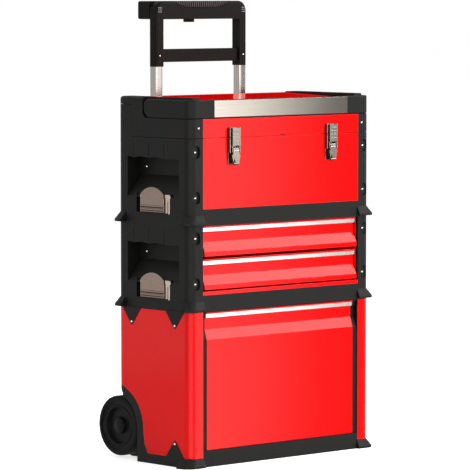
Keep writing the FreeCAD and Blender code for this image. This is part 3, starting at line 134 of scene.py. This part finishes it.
def mouldedPolypropylene(name, facts, ribs=None):
    # injection moulded polypropylene: spark eroded grain, a soft sheen, and paler edges that are
    # partly rubbed wear and partly a painted highlight
    material, tree = newMaterial(name)
    place = addNode(tree, "ShaderNodeTexCoord").outputs["Object"]
    # a grain of about 0.4 mm is drawn about three times as coarse, so that it shows
    grain = addNode(tree, "ShaderNodeTexNoise", None,
                    {"Vector": place, "Scale": 1 / facts["grain"], "Detail": 2.0,
                     "Roughness": 0.55})
    patches = addNode(tree, "ShaderNodeTexNoise", None,
                      {"Vector": place, "Scale": 1 / facts["patch"], "Detail": 3.0})
    normal, rubbedAndLit = edgeWearAndHighlight(tree, facts)
    normal = addNode(tree, "ShaderNodeBump", None,
                     {"Strength": facts["grainForce"], "Distance": facts["grainDepth"],
                      "Height": grain.outputs["Fac"], "Normal": normal}).outputs["Normal"]
    value = addNode(tree, "ShaderNodeMapRange", None,
                    {"Value": patches.outputs["Fac"], "To Min": 1 - facts["tone"],
                     "To Max": 1 + facts["tone"]})
    tone = addNode(tree, "ShaderNodeHueSaturation", None,
                   {"Color": linearColour(facts["colour"]), "Value": value.outputs["Result"]})
    colour = addNode(tree, "ShaderNodeMix", {"data_type": "RGBA"},
                     {0: rubbedAndLit, 6: tone.outputs["Color"], 7: linearColour(facts["rubbedAndLit"])})
    colour = paintedGapShade(tree, colour.outputs[2], facts)
    if ribs:
        height, inside = gripRibs(tree, place, ribs)
        # painted light and shade on the ribs: the ridges are painted pale as a highlight, the
        # grooves dark as shade
        bars = addNode(tree, "ShaderNodeMix", {"data_type": "RGBA"},
                       {0: height, 6: linearColour(ribs["ribGrooveShade"]), 7: linearColour(ribs["pale"])})
        colour = addNode(tree, "ShaderNodeMix", {"data_type": "RGBA"},
                         {0: inside, 6: colour, 7: bars.outputs[2]}).outputs[2]
        normal = addNode(tree, "ShaderNodeBump", None,
                         {"Strength": 1.0, "Distance": ribs["height"], "Height": height,
                          "Normal": normal}).outputs["Normal"]
    finishMaterial(tree, {"Base Color": colour, "Roughness": unevenGloss(tree, patches, facts),
                          "Normal": normal, "IOR": facts["ior"]})
    return material


ribFacts = {
    # the pale colour is a painted highlight on the rib ridges, the dark one painted shade in their
    # grooves
    "pitch": 5.6 * mm, "height": 3.0 * mm, "pale": "#55504d", "ribGrooveShade": "#060505",
    "reach": 76 * mm, "drop": 14 * mm, "bend": 4.0, "fade": 2.5 * mm,  # the curve they end on
}


def gripRibs(tree, place, facts):
    # finger ribs moulded round the top of the grip: upright bars that end on a shallow curve
    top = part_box("handle_frame")[1].z
    axes = addNode(tree, "ShaderNodeSeparateXYZ", None, {"Vector": place})
    bars = addNode(tree, "ShaderNodeMath", {"operation": "MULTIPLY"},
                   {0: axes.outputs["X"], 1: 2 * math.pi / facts["pitch"]})
    bars = addNode(tree, "ShaderNodeMath", {"operation": "SINE"}, {0: bars.outputs["Value"]})
    bars = addNode(tree, "ShaderNodeMapRange", None,
                   {"Value": bars.outputs["Value"], "From Min": -1.0})
    out = addNode(tree, "ShaderNodeMath", {"operation": "DIVIDE"},
                  {0: axes.outputs["X"], 1: facts["reach"]})
    out = addNode(tree, "ShaderNodeMath", {"operation": "POWER"},
                  {0: out.outputs["Value"], 1: facts["bend"]})
    # height above that curve, in metres
    rise = addNode(tree, "ShaderNodeMath", {"operation": "MULTIPLY_ADD"},
                   {0: out.outputs["Value"], 1: -facts["drop"], 2: facts["drop"] - top})
    rise = addNode(tree, "ShaderNodeMath", {"operation": "ADD"},
                   {0: rise.outputs["Value"], 1: axes.outputs["Z"]})
    inside = addNode(tree, "ShaderNodeMapRange", None,
                     {"Value": rise.outputs["Value"], "From Min": 0.0, "From Max": facts["fade"]})
    height = addNode(tree, "ShaderNodeMath", {"operation": "MULTIPLY"},
                     {0: bars.outputs["Result"], 1: inside.outputs["Result"]})
    return height.outputs["Value"], inside.outputs["Result"]


paintFacts = {
    "colour": "#fb0b0b", "deep": "#f30808", "rubbedAndLit": "#ff3a34", "patch": 140 * mm,
    "peel": 2.4 * mm, "peelDepth": 0.012 * mm, "peelForce": 0.25,
    "roughness": 0.10, "uneven": 0.02, "ior": 1.22,
    "edge": 1.0 * mm, "wearAndHighlight": 0.4, "crevice": 5 * mm, "sunk": 0.12,
}


def redPowderCoat(name, facts):
    # powder coat baked on steel sheet: full even red, faint orange peel and a clear gloss
    material, tree = newMaterial(name)
    place = addNode(tree, "ShaderNodeTexCoord").outputs["Object"]
    peel = addNode(tree, "ShaderNodeTexNoise", None,
                   {"Vector": place, "Scale": 1 / facts["peel"], "Detail": 1.0})
    patches = addNode(tree, "ShaderNodeTexNoise", None,
                      {"Vector": place, "Scale": 1 / facts["patch"], "Detail": 2.0})
    normal, rubbedAndLit = edgeWearAndHighlight(tree, facts)
    bump = addNode(tree, "ShaderNodeBump", None,
                   {"Strength": facts["peelForce"], "Distance": facts["peelDepth"],
                    "Height": peel.outputs["Fac"], "Normal": normal})
    shade = addNode(tree, "ShaderNodeMix", {"data_type": "RGBA"},
                    {0: patches.outputs["Fac"], 6: linearColour(facts["colour"]),
                     7: linearColour(facts["deep"])})
    colour = addNode(tree, "ShaderNodeMix", {"data_type": "RGBA"},
                     {0: rubbedAndLit, 6: shade.outputs[2], 7: linearColour(facts["rubbedAndLit"])})
    finishMaterial(tree, {"Base Color": paintedGapShade(tree, colour.outputs[2], facts),
                          "Roughness": unevenGloss(tree, patches, facts),
                          "Normal": bump.outputs["Normal"], "IOR": facts["ior"]})
    return material


def brushedMetal(name, facts):
    # drawn or brushed metal: fine streaks that run along one axis stretch the highlights
    material, tree = newMaterial(name)
    place = addNode(tree, "ShaderNodeTexCoord").outputs["Object"]
    stretched = addNode(tree, "ShaderNodeMapping", None,
                        {"Vector": place, "Scale": [1 / length for length in facts["streak"]]})
    streaks = addNode(tree, "ShaderNodeTexNoise", None,
                      {"Vector": stretched.outputs["Vector"], "Scale": 1.0, "Detail": 3.0,
                       "Roughness": 0.6})
    patches = addNode(tree, "ShaderNodeTexNoise", None,
                      {"Vector": place, "Scale": 1 / facts["patch"], "Detail": 2.0})
    normal, rubbedAndLit = edgeWearAndHighlight(tree, facts)
    bump = addNode(tree, "ShaderNodeBump", None,
                   {"Strength": facts["streakForce"], "Distance": facts["streakDepth"],
                    "Height": streaks.outputs["Fac"], "Normal": normal})
    shade = addNode(tree, "ShaderNodeMix", {"data_type": "RGBA"},
                    {0: streaks.outputs["Fac"], 6: linearColour(facts["colour"]),
                     7: linearColour(facts["pale"])})
    colour = addNode(tree, "ShaderNodeMix", {"data_type": "RGBA"},
                     {0: rubbedAndLit, 6: shade.outputs[2],
                      7: linearColour(facts["rubbedAndLit"])}).outputs[2]
    # painted shade in corners and gaps, for the metals that are given a reach for it
    if facts["crevice"]:
        colour = paintedGapShade(tree, colour, facts)
    finishMaterial(tree, {"Base Color": colour, "Roughness": unevenGloss(tree, patches, facts),
                          "Normal": bump.outputs["Normal"], "Metallic": 1.0})
    return material


metalFacts = {"streakForce": 0.4, "uneven": 0.03, "wearAndHighlight": 0.5, "crevice": None, "sunk": 0.08}
stainlessFacts = dict(
    metalFacts, colour="#868078", pale="#958f86", rubbedAndLit="#e8e4de", roughness=0.11,
    streak=(90 * mm, 1.2 * mm, 1.2 * mm), streakDepth=0.004 * mm, patch=80 * mm, edge=0.4 * mm)
anodisedFacts = dict(
    metalFacts, colour="#c6c3be", pale="#d4d1cc", rubbedAndLit="#dddbd8", roughness=0.20,
    streak=(60 * mm, 1.5 * mm, 1.5 * mm), streakDepth=0.004 * mm, patch=60 * mm, edge=0.5 * mm)
tubeFacts = dict(
    anodisedFacts, colour="#96908a", pale="#a8a29b", roughness=0.16,
    streak=(1.5 * mm, 1.5 * mm, 120 * mm))
sideLatchFacts = dict(
    metalFacts, colour="#6f5f55", pale="#8b7a6f", rubbedAndLit="#d6ccc4", roughness=0.32,
    streak=(3 * mm, 3 * mm, 2 * mm), streakDepth=0.01 * mm, patch=14 * mm, edge=0.5 * mm,
    crevice=7 * mm)
frontLatchFacts = dict(
    sideLatchFacts, colour="#6b645c", pale="#8a8279", rubbedAndLit="#d8d2ca", roughness=0.24)
zincFacts = dict(
    metalFacts, colour="#9b9c9c", pale="#bdbebd", rubbedAndLit="#d8d8d6", roughness=0.40,
    streak=(9 * mm, 40 * mm, 9 * mm), streakDepth=0.015 * mm, patch=22 * mm, edge=0.4 * mm)
rivetFacts = dict(
    metalFacts, colour="#cfcdca", pale="#e8e6e3", rubbedAndLit="#fbfbfa", roughness=0.22,
    streak=(2 * mm, 2 * mm, 2 * mm), streakDepth=0.005 * mm, patch=10 * mm, edge=0.3 * mm)

rubberFacts = {
    "colour": "#0b0b0a", "dust": "#1d1c1a", "roughness": 0.76, "ior": 1.24,
    "grain": 1.6 * mm, "grainDepth": 0.06 * mm, "grainForce": 0.4,
    "spots": 45.0, "thin": 0.5, "thick": 0.75, "cover": 0.35,  # spots of dust to a metre
    "edge": 1.0 * mm, "wearAndHighlight": 0.4,
}


def wheelRubber(name, facts):
    # hard moulded rubber: dull, with a little pale dust held in its grain, and paler edges that
    # are partly rubbed wear and partly a painted highlight
    material, tree = newMaterial(name)
    place = addNode(tree, "ShaderNodeTexCoord").outputs["Object"]
    grain = addNode(tree, "ShaderNodeTexNoise", None,
                    {"Vector": place, "Scale": 1 / facts["grain"], "Detail": 4.0})
    dust = addNode(tree, "ShaderNodeTexNoise", None,
                   {"Vector": place, "Scale": facts["spots"], "Detail": 5.0})
    normal, rubbedAndLit = edgeWearAndHighlight(tree, facts)
    bump = addNode(tree, "ShaderNodeBump", None,
                   {"Strength": facts["grainForce"], "Distance": facts["grainDepth"],
                    "Height": grain.outputs["Fac"], "Normal": normal})
    held = addNode(tree, "ShaderNodeMapRange", None,
                   {"Value": dust.outputs["Fac"], "From Min": facts["thin"],
                    "From Max": facts["thick"], "To Max": facts["cover"]})
    dustWearAndHighlight = addNode(tree, "ShaderNodeMath", {"operation": "MAXIMUM"},
                   {0: held.outputs["Result"], 1: rubbedAndLit})
    colour = addNode(tree, "ShaderNodeMix", {"data_type": "RGBA"},
                     {0: dustWearAndHighlight.outputs["Value"], 6: linearColour(facts["colour"]),
                      7: linearColour(facts["dust"])})
    finishMaterial(tree, {"Base Color": colour.outputs[2], "Roughness": facts["roughness"],
                          "Normal": bump.outputs["Normal"], "IOR": facts["ior"]})
    return material


blackPlastic = mouldedPolypropylene("mouldedPolypropylene", plasticFacts)
gripPlastic = mouldedPolypropylene(
    "gripPolypropylene",
    dict(plasticFacts, colour="#100d0b", rubbedAndLit="#2c2723", grain=1.6 * mm, roughness=0.42,
         ior=1.16),
    ribFacts)
wheelPlastic = mouldedPolypropylene(
    "wheelNylon",
    dict(plasticFacts, colour="#0f0f0e", rubbedAndLit="#242322", grain=0.9 * mm, roughness=0.44))
# a near black sheet of painted shade, laid where slots and grooves are in shade
paintedShadeSheet = mouldedPolypropylene(
    "paintedShadeSheet", dict(plasticFacts, colour="#0c0b0a", rubbedAndLit="#141312"))
# a paler, glossier copy of the black plastic: painted highlight on the small ribs at the top of
# the handle's legs
ribHighlightPlastic = mouldedPolypropylene(
    "highlightPolypropylene",
    dict(plasticFacts, colour="#6a6764", rubbedAndLit="#8c8985", roughness=0.14, ior=1.5))
redPaint = redPowderCoat("redPowderCoat", paintFacts)
# a darker copy of the red paint: painted shade for the pressed hook
paintedShadeRed = redPowderCoat(
    "paintedShadePowderCoat", dict(paintFacts, colour="#b40808", deep="#a00606"))
stainless = brushedMetal("brushedStainless", stainlessFacts)
anodised = brushedMetal("anodisedAluminium", anodisedFacts)
tubeAluminium = brushedMetal("drawnAluminiumTube", tubeFacts)
sideLatchSteel = brushedMetal("satinNickelPlate", sideLatchFacts)
# a paler copy of the latch plate's nickel: painted highlight on the proud brackets
standHighlightSteel = brushedMetal(
    "standHighlightNickel", dict(sideLatchFacts, colour="#a19488", pale="#b9ada2", crevice=3 * mm))
frontLatchSteel = brushedMetal("nickelPlatedPressing", frontLatchFacts)
# a paler, glossier copy of the latch steel for the fold over the lever's pin: its paler colour is
# a painted highlight
foldHighlightSteel = brushedMetal(
    "foldHighlightNickel", dict(frontLatchFacts, colour="#bdb6ad", pale="#d2ccc4", roughness=0.14))
# the rolled end of each front latch's lever is drawn in dark steel
rollSteel = brushedMetal(
    "darkRollSteel", dict(frontLatchFacts, colour="#2c2e2c", pale="#3c3e3b", rubbedAndLit="#8d8f8a"))
zincPlate = brushedMetal("zincPlatedSteel", zincFacts)
rivetSteel = brushedMetal("polishedRivetSteel", rivetFacts)
rubber = wheelRubber("wheelRubber", rubberFacts)

finishOf = {
    "black_plastic": blackPlastic, "grip_plastic": gripPlastic, "red_paint": redPaint,
    "zinc_steel": zincPlate, "latch_steel": sideLatchSteel, "strip_steel": stainless,
    "aluminium": anodised, "rivet_steel": rivetSteel, "tyre": rubber,
}
ownFinish = {  # nodes whose finish differs from the rest of their slot
    "outer_tubes": tubeAluminium, "handle_tubes": tubeAluminium,
    "rim_left": wheelPlastic, "rim_right": wheelPlastic,
}
for part in frame["record"]["subparts"]:
    name = part["node"]
    finish = ownFinish.get(name, finishOf[part["material_slot"]])
    if name.startswith("front_latch"):
        finish = frontLatchSteel
    nodes[name].data.materials.clear()
    nodes[name].data.materials.append(finish)
print("trolley: materials made")


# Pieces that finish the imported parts

def newPiece(name, bm, material, body):
    bmesh.ops.recalc_face_normals(bm, faces=bm.faces)
    mesh = bpy.data.meshes.new(name)
    bm.to_mesh(mesh)
    bm.free()
    mesh.materials.append(material)
    piece = bpy.data.objects.new(name, mesh)
    bpy.context.scene.collection.objects.link(piece)
    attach(piece, body)


def addBar(bm, low, high, ease):
    # a bar with rounded edges between two corners
    verts = bmesh.ops.create_cube(bm, size=1.0)["verts"]
    bmesh.ops.scale(bm, verts=verts, vec=Vector(high) - Vector(low))
    bmesh.ops.translate(bm, verts=verts, vec=(Vector(high) + Vector(low)) / 2)
    edges = list({edge for vert in verts for edge in vert.link_edges})
    bmesh.ops.bevel(bm, geom=edges, offset=ease, affect="EDGES", segments=2, profile=0.5,
                    material=-1)


def addPlate(bm, outline, depth, ease):
    # a plate from its outline, given as points in space, with its edges eased
    face = bm.faces.new([bm.verts.new(point) for point in outline])
    far = bmesh.ops.extrude_face_region(bm, geom=[face])["geom"]
    verts = [item for item in far if isinstance(item, bmesh.types.BMVert)]
    bmesh.ops.translate(bm, verts=verts, vec=depth)
    faces = {found for vert in verts for found in vert.link_faces} | {face}
    edges = list({edge for found in faces for edge in found.edges})
    bmesh.ops.bevel(bm, geom=edges, offset=ease, affect="EDGES", segments=1, profile=0.5,
                    material=-1)


def addDome(bm, place, radius, height):
    # a low round head that faces the front: the front half of a flattened ball
    verts = bmesh.ops.create_uvsphere(bm, u_segments=20, v_segments=12, radius=1.0)["verts"]
    edges = {edge for vert in verts for edge in vert.link_edges}
    faces = {face for vert in verts for face in vert.link_faces}
    # the cut lies just behind the middle, clear of the ball's own ring of points
    kept = bmesh.ops.bisect_plane(bm, geom=[*verts, *edges, *faces], plane_co=(0, 0.02, 0),
                                  plane_no=(0, 1, 0), clear_outer=True)
    verts = [item for item in kept["geom"] if isinstance(item, bmesh.types.BMVert)]
    rim = [item for item in kept["geom_cut"] if isinstance(item, bmesh.types.BMEdge)]
    bmesh.ops.contextual_create(bm, geom=rim)
    bmesh.ops.scale(bm, verts=verts, vec=(radius, height, radius))
    bmesh.ops.translate(bm, verts=verts, vec=place)


legFacts = {
    "side": 113.5 * mm, "rivetLevel": 799 * mm, "rivetRadius": 1.9 * mm, "rivetProud": 1.1 * mm,
    "ribLevels": (886 * mm, 890 * mm, 894 * mm), "ribWidth": 10 * mm, "ribHeight": 2.2 * mm,
    "ribProud": 1.3 * mm, "ribSunk": 0.1 * mm, "ribEase": 0.2 * mm,
}


def makeLegDetails(facts):
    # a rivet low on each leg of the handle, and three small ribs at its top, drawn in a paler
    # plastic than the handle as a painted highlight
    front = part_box("handle_frame")[0].y
    heads = bmesh.new()
    ribs = bmesh.new()
    for side in (-1, 1):
        addDome(heads, (side * facts["side"], front, facts["rivetLevel"]),
                facts["rivetRadius"], facts["rivetProud"])
        left = side * facts["side"] - facts["ribWidth"] / 2
        for level in facts["ribLevels"]:
            profile = [(left, front + facts["ribSunk"], level + facts["ribHeight"]),
                       (left, front - facts["ribProud"], level),
                       (left, front + facts["ribSunk"], level)]
            addPlate(ribs, profile, (facts["ribWidth"], 0, 0), facts["ribEase"])
    newPiece("handleLegRivets", heads, rivetSteel, "pull_handle")
    newPiece("handleLegRibs", ribs, ribHighlightPlastic, "pull_handle")


# the fold's outline is (Y, Z), and that of the dark sheet painted as the shade in the slot is (X,
# Z), in millimetres from the pin
leverFacts = {
    "pinBelowTop": 3.0 * mm, "faceBehindRoll": 1.2 * mm,
    "fold": [(-0.6, -4.0), (3.4, 2.8), (4.2, 2.2), (0.4, -4.6)], "foldHalf": 6.8 * mm,
    "foldEase": 0.15 * mm,
    "slot": [(-8.2, -29.5), (-1.2, -29.5), (-4.8, -18.5)], "slotProud": 0.15 * mm,
    "slotDepth": 0.3 * mm, "slotEase": 0.03 * mm,
    "rollHalf": 7.2 * mm, "rollRadius": 3.0 * mm, "rollBack": 1.9 * mm, "rollDrop": 29 * mm,
    "rollWall": 1.0 * mm, "rollHollow": 2.0 * mm,
}


def makeLeverDetails(side, facts):
    # what is pressed into each front latch's lever: a fold over its pin, a slot and a rolled end;
    # the slot is a dark sheet of painted shade, and the fold is painted pale as a highlight
    body = "front_lever_" + side
    low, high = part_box("front_latch_lever_" + side)
    middle = (low.x + high.x) / 2
    face = low.y + facts["faceBehindRoll"]
    pin = high.z - facts["pinBelowTop"]
    fold = bmesh.new()
    outline = [(middle - facts["foldHalf"], face + y * mm, pin + z * mm) for y, z in facts["fold"]]
    addPlate(fold, outline, (2 * facts["foldHalf"], 0, 0), facts["foldEase"])
    newPiece("frontLatchFold_" + side, fold, foldHighlightSteel, body)
    slot = bmesh.new()
    outline = [(middle + x * mm, face - facts["slotProud"], pin + z * mm)
               for x, z in facts["slot"]]
    addPlate(slot, outline, (0, facts["slotDepth"], 0), facts["slotEase"])
    newPiece("frontLatchSlotShade_" + side, slot, paintedShadeSheet, body)
    roll = bmesh.new()
    bmesh.ops.create_cone(roll, cap_ends=True, segments=28, radius1=facts["rollRadius"],
                          radius2=facts["rollRadius"], depth=2 * facts["rollHalf"])
    ends = [found for found in roll.faces if len(found.verts) > 4]
    bmesh.ops.inset_individual(roll, faces=ends, thickness=facts["rollWall"],
                               depth=-facts["rollHollow"])
    bmesh.ops.rotate(roll, verts=roll.verts, cent=(0, 0, 0),
                     matrix=Matrix.Rotation(math.pi / 2, 3, "Y"))
    bmesh.ops.translate(roll, verts=roll.verts,
                        vec=(middle, face + facts["rollBack"], pin - facts["rollDrop"]))
    newPiece("frontLatchRoll_" + side, roll, rollSteel, body)


hookFacts = {"half": 7 * mm, "rise": 3.6 * mm, "proud": 0.5 * mm, "ease": 0.24 * mm}


def makePressedHook(facts):
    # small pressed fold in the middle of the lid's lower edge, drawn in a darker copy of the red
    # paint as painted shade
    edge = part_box("lid_panel")[0]
    bm = bmesh.new()
    addBar(bm, (-facts["half"], edge.y - facts["proud"], edge.z),
           (facts["half"], edge.y + facts["proud"], edge.z + facts["rise"]), facts["ease"])
    newPiece("lidPressedHook", bm, paintedShadeRed, "lid")


# outlines are (outward from the plate's end, up from the top), in millimetres
standFacts = {
    "front": [(-1, 0), (13.5, 0), (16.5, -5), (13.5, -9), (13.5, -38), (9, -38), (9, -12),
              (6.5, -12), (6.5, -36), (-1, -36)],
    "rear": [(-1, -2), (1.6, -2), (2.6, -6), (1.6, -12), (-1, -12)],
    "near": 35.6 * mm, "top": 56.5 * mm, "depth": 1.2 * mm, "proud": 0.5 * mm,
    "ease": 0.25 * mm,
}


def makeLatchStands(latch, body, facts):
    # bracket that holds each side latch: a forked leg in front, the end of its pin behind; drawn
    # in a paler copy of the plate's nickel as a painted highlight
    for side, name in ((-1, latch + "_left"), (1, latch + "_right")):
        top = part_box(name)[0].z + facts["top"]
        face = side * (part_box("base_wrap")[1].x + facts["proud"])
        bm = bmesh.new()
        for way, shape in ((-1, facts["front"]), (1, facts["rear"])):
            outline = [(face, way * (facts["near"] + y * mm), top + z * mm) for y, z in shape]
            addPlate(bm, outline, (-side * facts["depth"], 0, 0), facts["ease"])
        newPiece(name + "_stand", bm, standHighlightSteel, body)


grooveShadeFacts = {
    "levels": (23.2 * mm, 29.6 * mm), "height": 1.8 * mm, "half": 34 * mm, "proud": 0.12 * mm,
    "sunk": 0.5 * mm, "behind": 1.6 * mm, "ease": 0.05 * mm,
}


def makeThumbGrooveShade(latch, facts):
    # dark bars of painted shade under the two ridges of each thumb plate, where their folds are in
    # shade
    for side, name in ((-1, latch + "_left"), (1, latch + "_right")):
        low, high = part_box(name)
        face = (high.x if side > 0 else -low.x) - facts["behind"]
        near, far = sorted((side * (face - facts["sunk"]), side * (face + facts["proud"])))
        bm = bmesh.new()
        for level in facts["levels"]:
            addBar(bm, (near, -facts["half"], low.z + level),
                   (far, facts["half"], low.z + level + facts["height"]), facts["ease"])
        newPiece(name + "_grooveShadeBars", bm, paintedShadeSheet, name)


makeLegDetails(legFacts)
for side in ("left", "right"):
    makeLeverDetails(side, leverFacts)
makePressedHook(hookFacts)
carrierOf = {"middle_latch": "middle_module", "top_latch": "top_box"}
for latch, body in carrierOf.items():
    makeLatchStands(latch, body, standFacts)
for latch in carrierOf:
    makeThumbGrooveShade(latch, grooveShadeFacts)
print("trolley: pieces made")


# Studio

cameraFacts = {
    "place": (-4.7423, -5.1383, 0.9444), "azimuth": -42.54, "down": 4.126, "lens": 267.42,
    "sensor": 36.0,
}


def addCamera(facts):
    data = bpy.data.cameras.new("camera")
    data.lens = facts["lens"]
    data.sensor_width = facts["sensor"]
    camera = bpy.data.objects.new("camera", data)
    camera.location = facts["place"]
    camera.rotation_euler = (math.radians(90 - facts["down"]), 0, math.radians(facts["azimuth"]))
    bpy.context.scene.collection.objects.link(camera)
    bpy.context.scene.camera = camera


def addSheet(name, size, place):
    # a flat rectangle with its place in its mesh
    bm = bmesh.new()
    bmesh.ops.create_grid(bm, x_segments=1, y_segments=1, size=0.5)
    bmesh.ops.scale(bm, verts=bm.verts, vec=(*size, 1))
    bmesh.ops.transform(bm, verts=bm.verts, matrix=place)
    mesh = bpy.data.meshes.new(name)
    bm.to_mesh(mesh)
    bm.free()
    sheet = bpy.data.objects.new(name, mesh)
    bpy.context.scene.collection.objects.link(sheet)
    return sheet


# each card is seen in reflections only, and shines with its radiance
cardFacts = {
    "frontCard": {"place": (1.76, -2.942, 0.3), "aim": (0.296, 0.127, 0.3), "size": (2.75, 2.0),
                  "radiance": 3.85,
                  # from one X to another its light falls off to less
                  "fade": {"from": 2.16, "to": 2.58, "radiance": 0.3}},
    "overheadCard": {"place": (2.47, -2.14, 2.0), "aim": (-0.08, -0.74, 0.05),
                     "size": (1.3, 1.3), "radiance": 11.0},
    "leftCard": {"place": (-2.2, 2.26, 0.03), "aim": (0, 0, 0.03), "size": (2.4, 0.36),
                 "radiance": 1.6},
    "cornerCard": {"place": (-2.6, -2.6, 0.5), "aim": (0, 0, 0.5), "size": (3.4, 2.4),
                   "radiance": 4.0},
    "blackCard": {"place": (2.7, 2.9, 1.3), "aim": (0, 0, 1.3), "size": (4.6, 3.2),
                  "radiance": 0.0},
}


def addCard(name, facts):
    turn = (Vector(facts["aim"]) - Vector(facts["place"])).to_track_quat("Z", "Y")
    card = addSheet(name, facts["size"],
                    Matrix.Translation(facts["place"]) @ turn.to_matrix().to_4x4())
    card.visible_camera = False
    card.visible_diffuse = False
    card.visible_shadow = False
    material, tree = newMaterial(name)
    material.cycles.emission_sampling = "NONE"
    strength = facts["radiance"]
    if "fade" in facts:
        place = addNode(tree, "ShaderNodeTexCoord").outputs["Object"]
        axes = addNode(tree, "ShaderNodeSeparateXYZ", None, {"Vector": place})
        strength = addNode(tree, "ShaderNodeMapRange", {"interpolation_type": "SMOOTHSTEP"},
                           {"Value": axes.outputs["X"], "From Min": facts["fade"]["from"],
                            "From Max": facts["fade"]["to"], "To Min": facts["radiance"],
                            "To Max": facts["fade"]["radiance"]}).outputs["Result"]
    glow = addNode(tree, "ShaderNodeEmission", None,
                   {"Color": (1, 1, 1, 1), "Strength": strength})
    addNode(tree, "ShaderNodeOutputMaterial", None, {"Surface": glow.outputs["Emission"]})
    card.data.materials.append(material)


lampFacts = {
    "keySoftbox": {"place": (-2.2, -3.6, 2.6), "aim": (0, 0, 0.45), "size": (1.2, 1.2),
                   "radiance": 4.0},
    "frontSoftbox": {"place": (1.5, -3.1, 1.3), "aim": (0, 0, 0.6), "size": (2.1, 2.2),
                     "radiance": 4.2},
    "overheadSoftbox": {"place": (0.6, -0.6, 3.2), "aim": (0, 0, 0.5), "size": (1.8, 1.8),
                        "radiance": 6.6},
    "leftSoftbox": {"place": (-3.2, 1.0, 1.7), "aim": (0, 0, 0.6), "size": (1.2, 1.6),
                    "radiance": 0.8},
    "backSoftbox": {"place": (1.2, 3.0, 1.8), "aim": (0, 0, 0.45), "size": (1.4, 1.4),
                    "radiance": 3.0},
}


def addLamp(name, facts):
    data = bpy.data.lights.new(name, "AREA")
    data.shape = "RECTANGLE"
    data.size, data.size_y = facts["size"]
    data.energy = 4 * facts["radiance"] * data.size * data.size_y  # watts for this radiance
    lamp = bpy.data.objects.new(name, data)
    lamp.location = facts["place"]
    turn = (Vector(facts["aim"]) - Vector(facts["place"])).to_track_quat("-Z", "Y")
    lamp.rotation_euler = turn.to_euler()
    lamp.visible_glossy = False  # what shines in the surfaces is the cards
    bpy.context.scene.collection.objects.link(lamp)


worldFacts = {"seen": 1.0, "ambient": 0.35}


def addWorld(facts):
    # white to the camera and in reflections, and dimmer as light on the trolley
    world = bpy.data.worlds.new("studio")
    bpy.context.scene.world = world
    world.use_nodes = True
    tree = world.node_tree
    tree.nodes.clear()
    rays = addNode(tree, "ShaderNodeLightPath")
    seen = addNode(tree, "ShaderNodeMath", {"operation": "ADD"},
                   {0: rays.outputs["Is Camera Ray"], 1: rays.outputs["Is Glossy Ray"]})
    seen = addNode(tree, "ShaderNodeMath", {"operation": "ADD", "use_clamp": True},
                   {0: seen.outputs["Value"], 1: rays.outputs["Is Transmission Ray"]})
    strength = addNode(tree, "ShaderNodeMapRange", None,
                       {"Value": seen.outputs["Value"], "To Min": facts["ambient"],
                        "To Max": facts["seen"]})
    background = addNode(tree, "ShaderNodeBackground", None,
                         {"Color": (1, 1, 1, 1), "Strength": strength.outputs["Result"]})
    addNode(tree, "ShaderNodeOutputWorld", None, {"Surface": background.outputs["Background"]})


floorFacts = {"size": (80.0, 80.0), "colour": "#e6e6e6", "glow": 0.72}


def addFloor(facts):
    # pale floor: it keeps the shadow, and its own glow lifts it to the backdrop's white
    floor = addSheet("floor", facts["size"], Matrix.Identity(4))
    material, tree = newMaterial("paleFloor")
    rays = addNode(tree, "ShaderNodeLightPath")
    seen = addNode(tree, "ShaderNodeMath", {"operation": "MAXIMUM"},
                   {0: rays.outputs["Is Camera Ray"], 1: rays.outputs["Is Glossy Ray"]})
    lift = addNode(tree, "ShaderNodeMath", {"operation": "MULTIPLY"},
                   {0: seen.outputs["Value"], 1: facts["glow"]})
    diffuse = addNode(tree, "ShaderNodeBsdfDiffuse", None,
                      {"Color": linearColour(facts["colour"])})
    glow = addNode(tree, "ShaderNodeEmission", None,
                   {"Color": (1, 1, 1, 1), "Strength": lift.outputs["Value"]})
    both = addNode(tree, "ShaderNodeAddShader", None,
                   {0: diffuse.outputs["BSDF"], 1: glow.outputs["Emission"]})
    addNode(tree, "ShaderNodeOutputMaterial", None, {"Surface": both.outputs["Shader"]})
    floor.data.materials.append(material)
    floor.visible_glossy = False  # surfaces mirror the white backdrop and the cards instead


addCamera(cameraFacts)
for name, facts in cardFacts.items():
    addCard(name, facts)
for name, facts in lampFacts.items():
    addLamp(name, facts)
addWorld(worldFacts)
addFloor(floorFacts)
bpy.context.scene.view_settings.view_transform = "Standard"
print("trolley: studio set")
